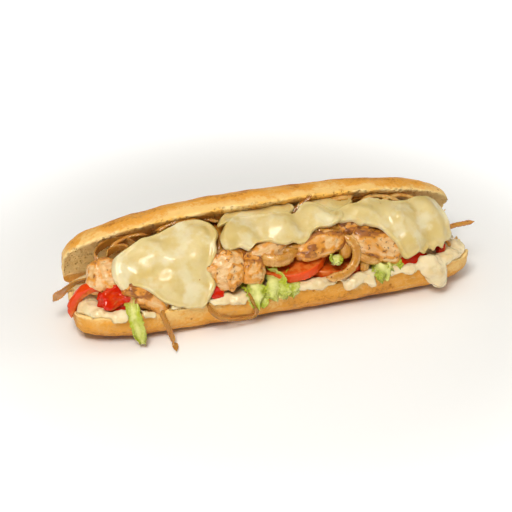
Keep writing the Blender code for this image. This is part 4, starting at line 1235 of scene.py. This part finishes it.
class SandwichStudio(bpy.types.PropertyGroup):
    """Floor, lights and camera"""
    floor: tone("Floor", "Plain pale floor", (0.94, 0.955, 0.98))
    floor_glow: amount("Floor glow", "Light that the far floor gives off", "NONE", 0.7)
    light_colour: tone("Light colour", "Colour of the lamps", (1.0, 0.96, 0.88))
    key_power: amount("Softbox", "Power of the light above", "POWER", 9.0)
    fill_power: amount("Front fill", "Power of the front fill", "POWER", 1.7)
    side_power: amount("Side fill", "Power of the side fill", "POWER", 1.4)
    ceiling_power: amount("Ceiling", "Power of the wide light over the floor", "POWER", 26.0)
    sky: amount("Sky", "Strength of the even light all round", "NONE", 0.06)
    lens: amount("Lens", "Focal length", "CAMERA", 82.55)
    azimuth: amount("Azimuth", "Where the camera stands round the roll", "ROTATION", math.radians(-17.5))
    elevation: amount("Elevation", "How far the camera looks down", "ROTATION", math.radians(30.2))


class SANDWICH_OT_roll(bpy.types.Operator):
    """Bake the roll"""
    bl_idname = "sandwich.roll"
    bl_label = "Roll"
    bl_options = {"REGISTER", "UNDO"}
    settings = "sandwich_roll"

    def execute(self, context):
        make_roll(context.scene.sandwich_roll)
        return {"FINISHED"}


class SANDWICH_OT_sauce(bpy.types.Operator):
    """Spread the white sauce"""
    bl_idname = "sandwich.sauce"
    bl_label = "Sauce"
    bl_options = {"REGISTER", "UNDO"}
    settings = "sandwich_sauce"

    def execute(self, context):
        make_sauce(context.scene.sandwich_sauce)
        return {"FINISHED"}


class SANDWICH_OT_tomato(bpy.types.Operator):
    """Lay the tomato slices and chunks"""
    bl_idname = "sandwich.tomato"
    bl_label = "Tomato"
    bl_options = {"REGISTER", "UNDO"}
    settings = "sandwich_tomato"

    def execute(self, context):
        make_tomato(context.scene.sandwich_tomato)
        return {"FINISHED"}


class SANDWICH_OT_lettuce(bpy.types.Operator):
    """Hang the lettuce shreds"""
    bl_idname = "sandwich.lettuce"
    bl_label = "Lettuce"
    bl_options = {"REGISTER", "UNDO"}
    settings = "sandwich_lettuce"

    def execute(self, context):
        make_lettuce(context.scene.sandwich_lettuce)
        return {"FINISHED"}


class SANDWICH_OT_chicken(bpy.types.Operator):
    """Add the grilled chicken"""
    bl_idname = "sandwich.chicken"
    bl_label = "Chicken"
    bl_options = {"REGISTER", "UNDO"}
    settings = "sandwich_chicken"

    def execute(self, context):
        make_chicken(context.scene.sandwich_chicken)
        return {"FINISHED"}


class SANDWICH_OT_onion(bpy.types.Operator):
    """Add the fried onion"""
    bl_idname = "sandwich.onion"
    bl_label = "Onion"
    bl_options = {"REGISTER", "UNDO"}
    settings = "sandwich_onion"

    def execute(self, context):
        make_onion(context.scene.sandwich_onion)
        return {"FINISHED"}


class SANDWICH_OT_cheese(bpy.types.Operator):
    """Melt the cheese over the filling"""
    bl_idname = "sandwich.cheese"
    bl_label = "Cheese"
    bl_options = {"REGISTER", "UNDO"}
    settings = "sandwich_cheese"

    def execute(self, context):
        make_cheese(context.scene.sandwich_cheese)
        return {"FINISHED"}


class SANDWICH_OT_studio(bpy.types.Operator):
    """Set up the floor, the lights and the camera"""
    bl_idname = "sandwich.studio"
    bl_label = "Studio"
    bl_options = {"REGISTER", "UNDO"}
    settings = "sandwich_studio"

    def execute(self, context):
        make_stage(context.scene.sandwich_studio)
        return {"FINISHED"}


class SANDWICH_PT_panel(bpy.types.Panel):
    """Lists the pieces of the sandwich"""
    bl_idname = "SANDWICH_PT_panel"
    bl_label = "Submarine Sandwich"
    bl_space_type = "VIEW_3D"
    bl_region_type = "UI"
    bl_category = "Sandwich"

    def draw(self, context):
        for operator in OPERATORS:
            box = self.layout.box()
            box.operator(operator.bl_idname)
            settings = getattr(context.scene, operator.settings)
            for name in settings.__annotations__:
                box.prop(settings, name)


SETTINGS = (SandwichRoll, SandwichSauce, SandwichTomato, SandwichLettuce, SandwichChicken, SandwichOnion,
            SandwichCheese, SandwichStudio)
OPERATORS = (SANDWICH_OT_roll, SANDWICH_OT_sauce, SANDWICH_OT_tomato, SANDWICH_OT_lettuce,
             SANDWICH_OT_chicken, SANDWICH_OT_onion, SANDWICH_OT_cheese, SANDWICH_OT_studio)


def register():
    for settings, operator in zip(SETTINGS, OPERATORS):
        bpy.utils.register_class(settings)
        bpy.utils.register_class(operator)
        setattr(bpy.types.Scene, operator.settings, bpy.props.PointerProperty(type=settings))
    bpy.utils.register_class(SANDWICH_PT_panel)


def unregister():
    bpy.utils.unregister_class(SANDWICH_PT_panel)
    for settings, operator in zip(SETTINGS, OPERATORS):
        delattr(bpy.types.Scene, operator.settings)
        bpy.utils.unregister_class(operator)
        bpy.utils.unregister_class(settings)


def main():
    register()
    for operator in OPERATORS:
        group, name = operator.bl_idname.split(".")
        getattr(getattr(bpy.ops, group), name)()


if __name__ == "__main__":
    main()
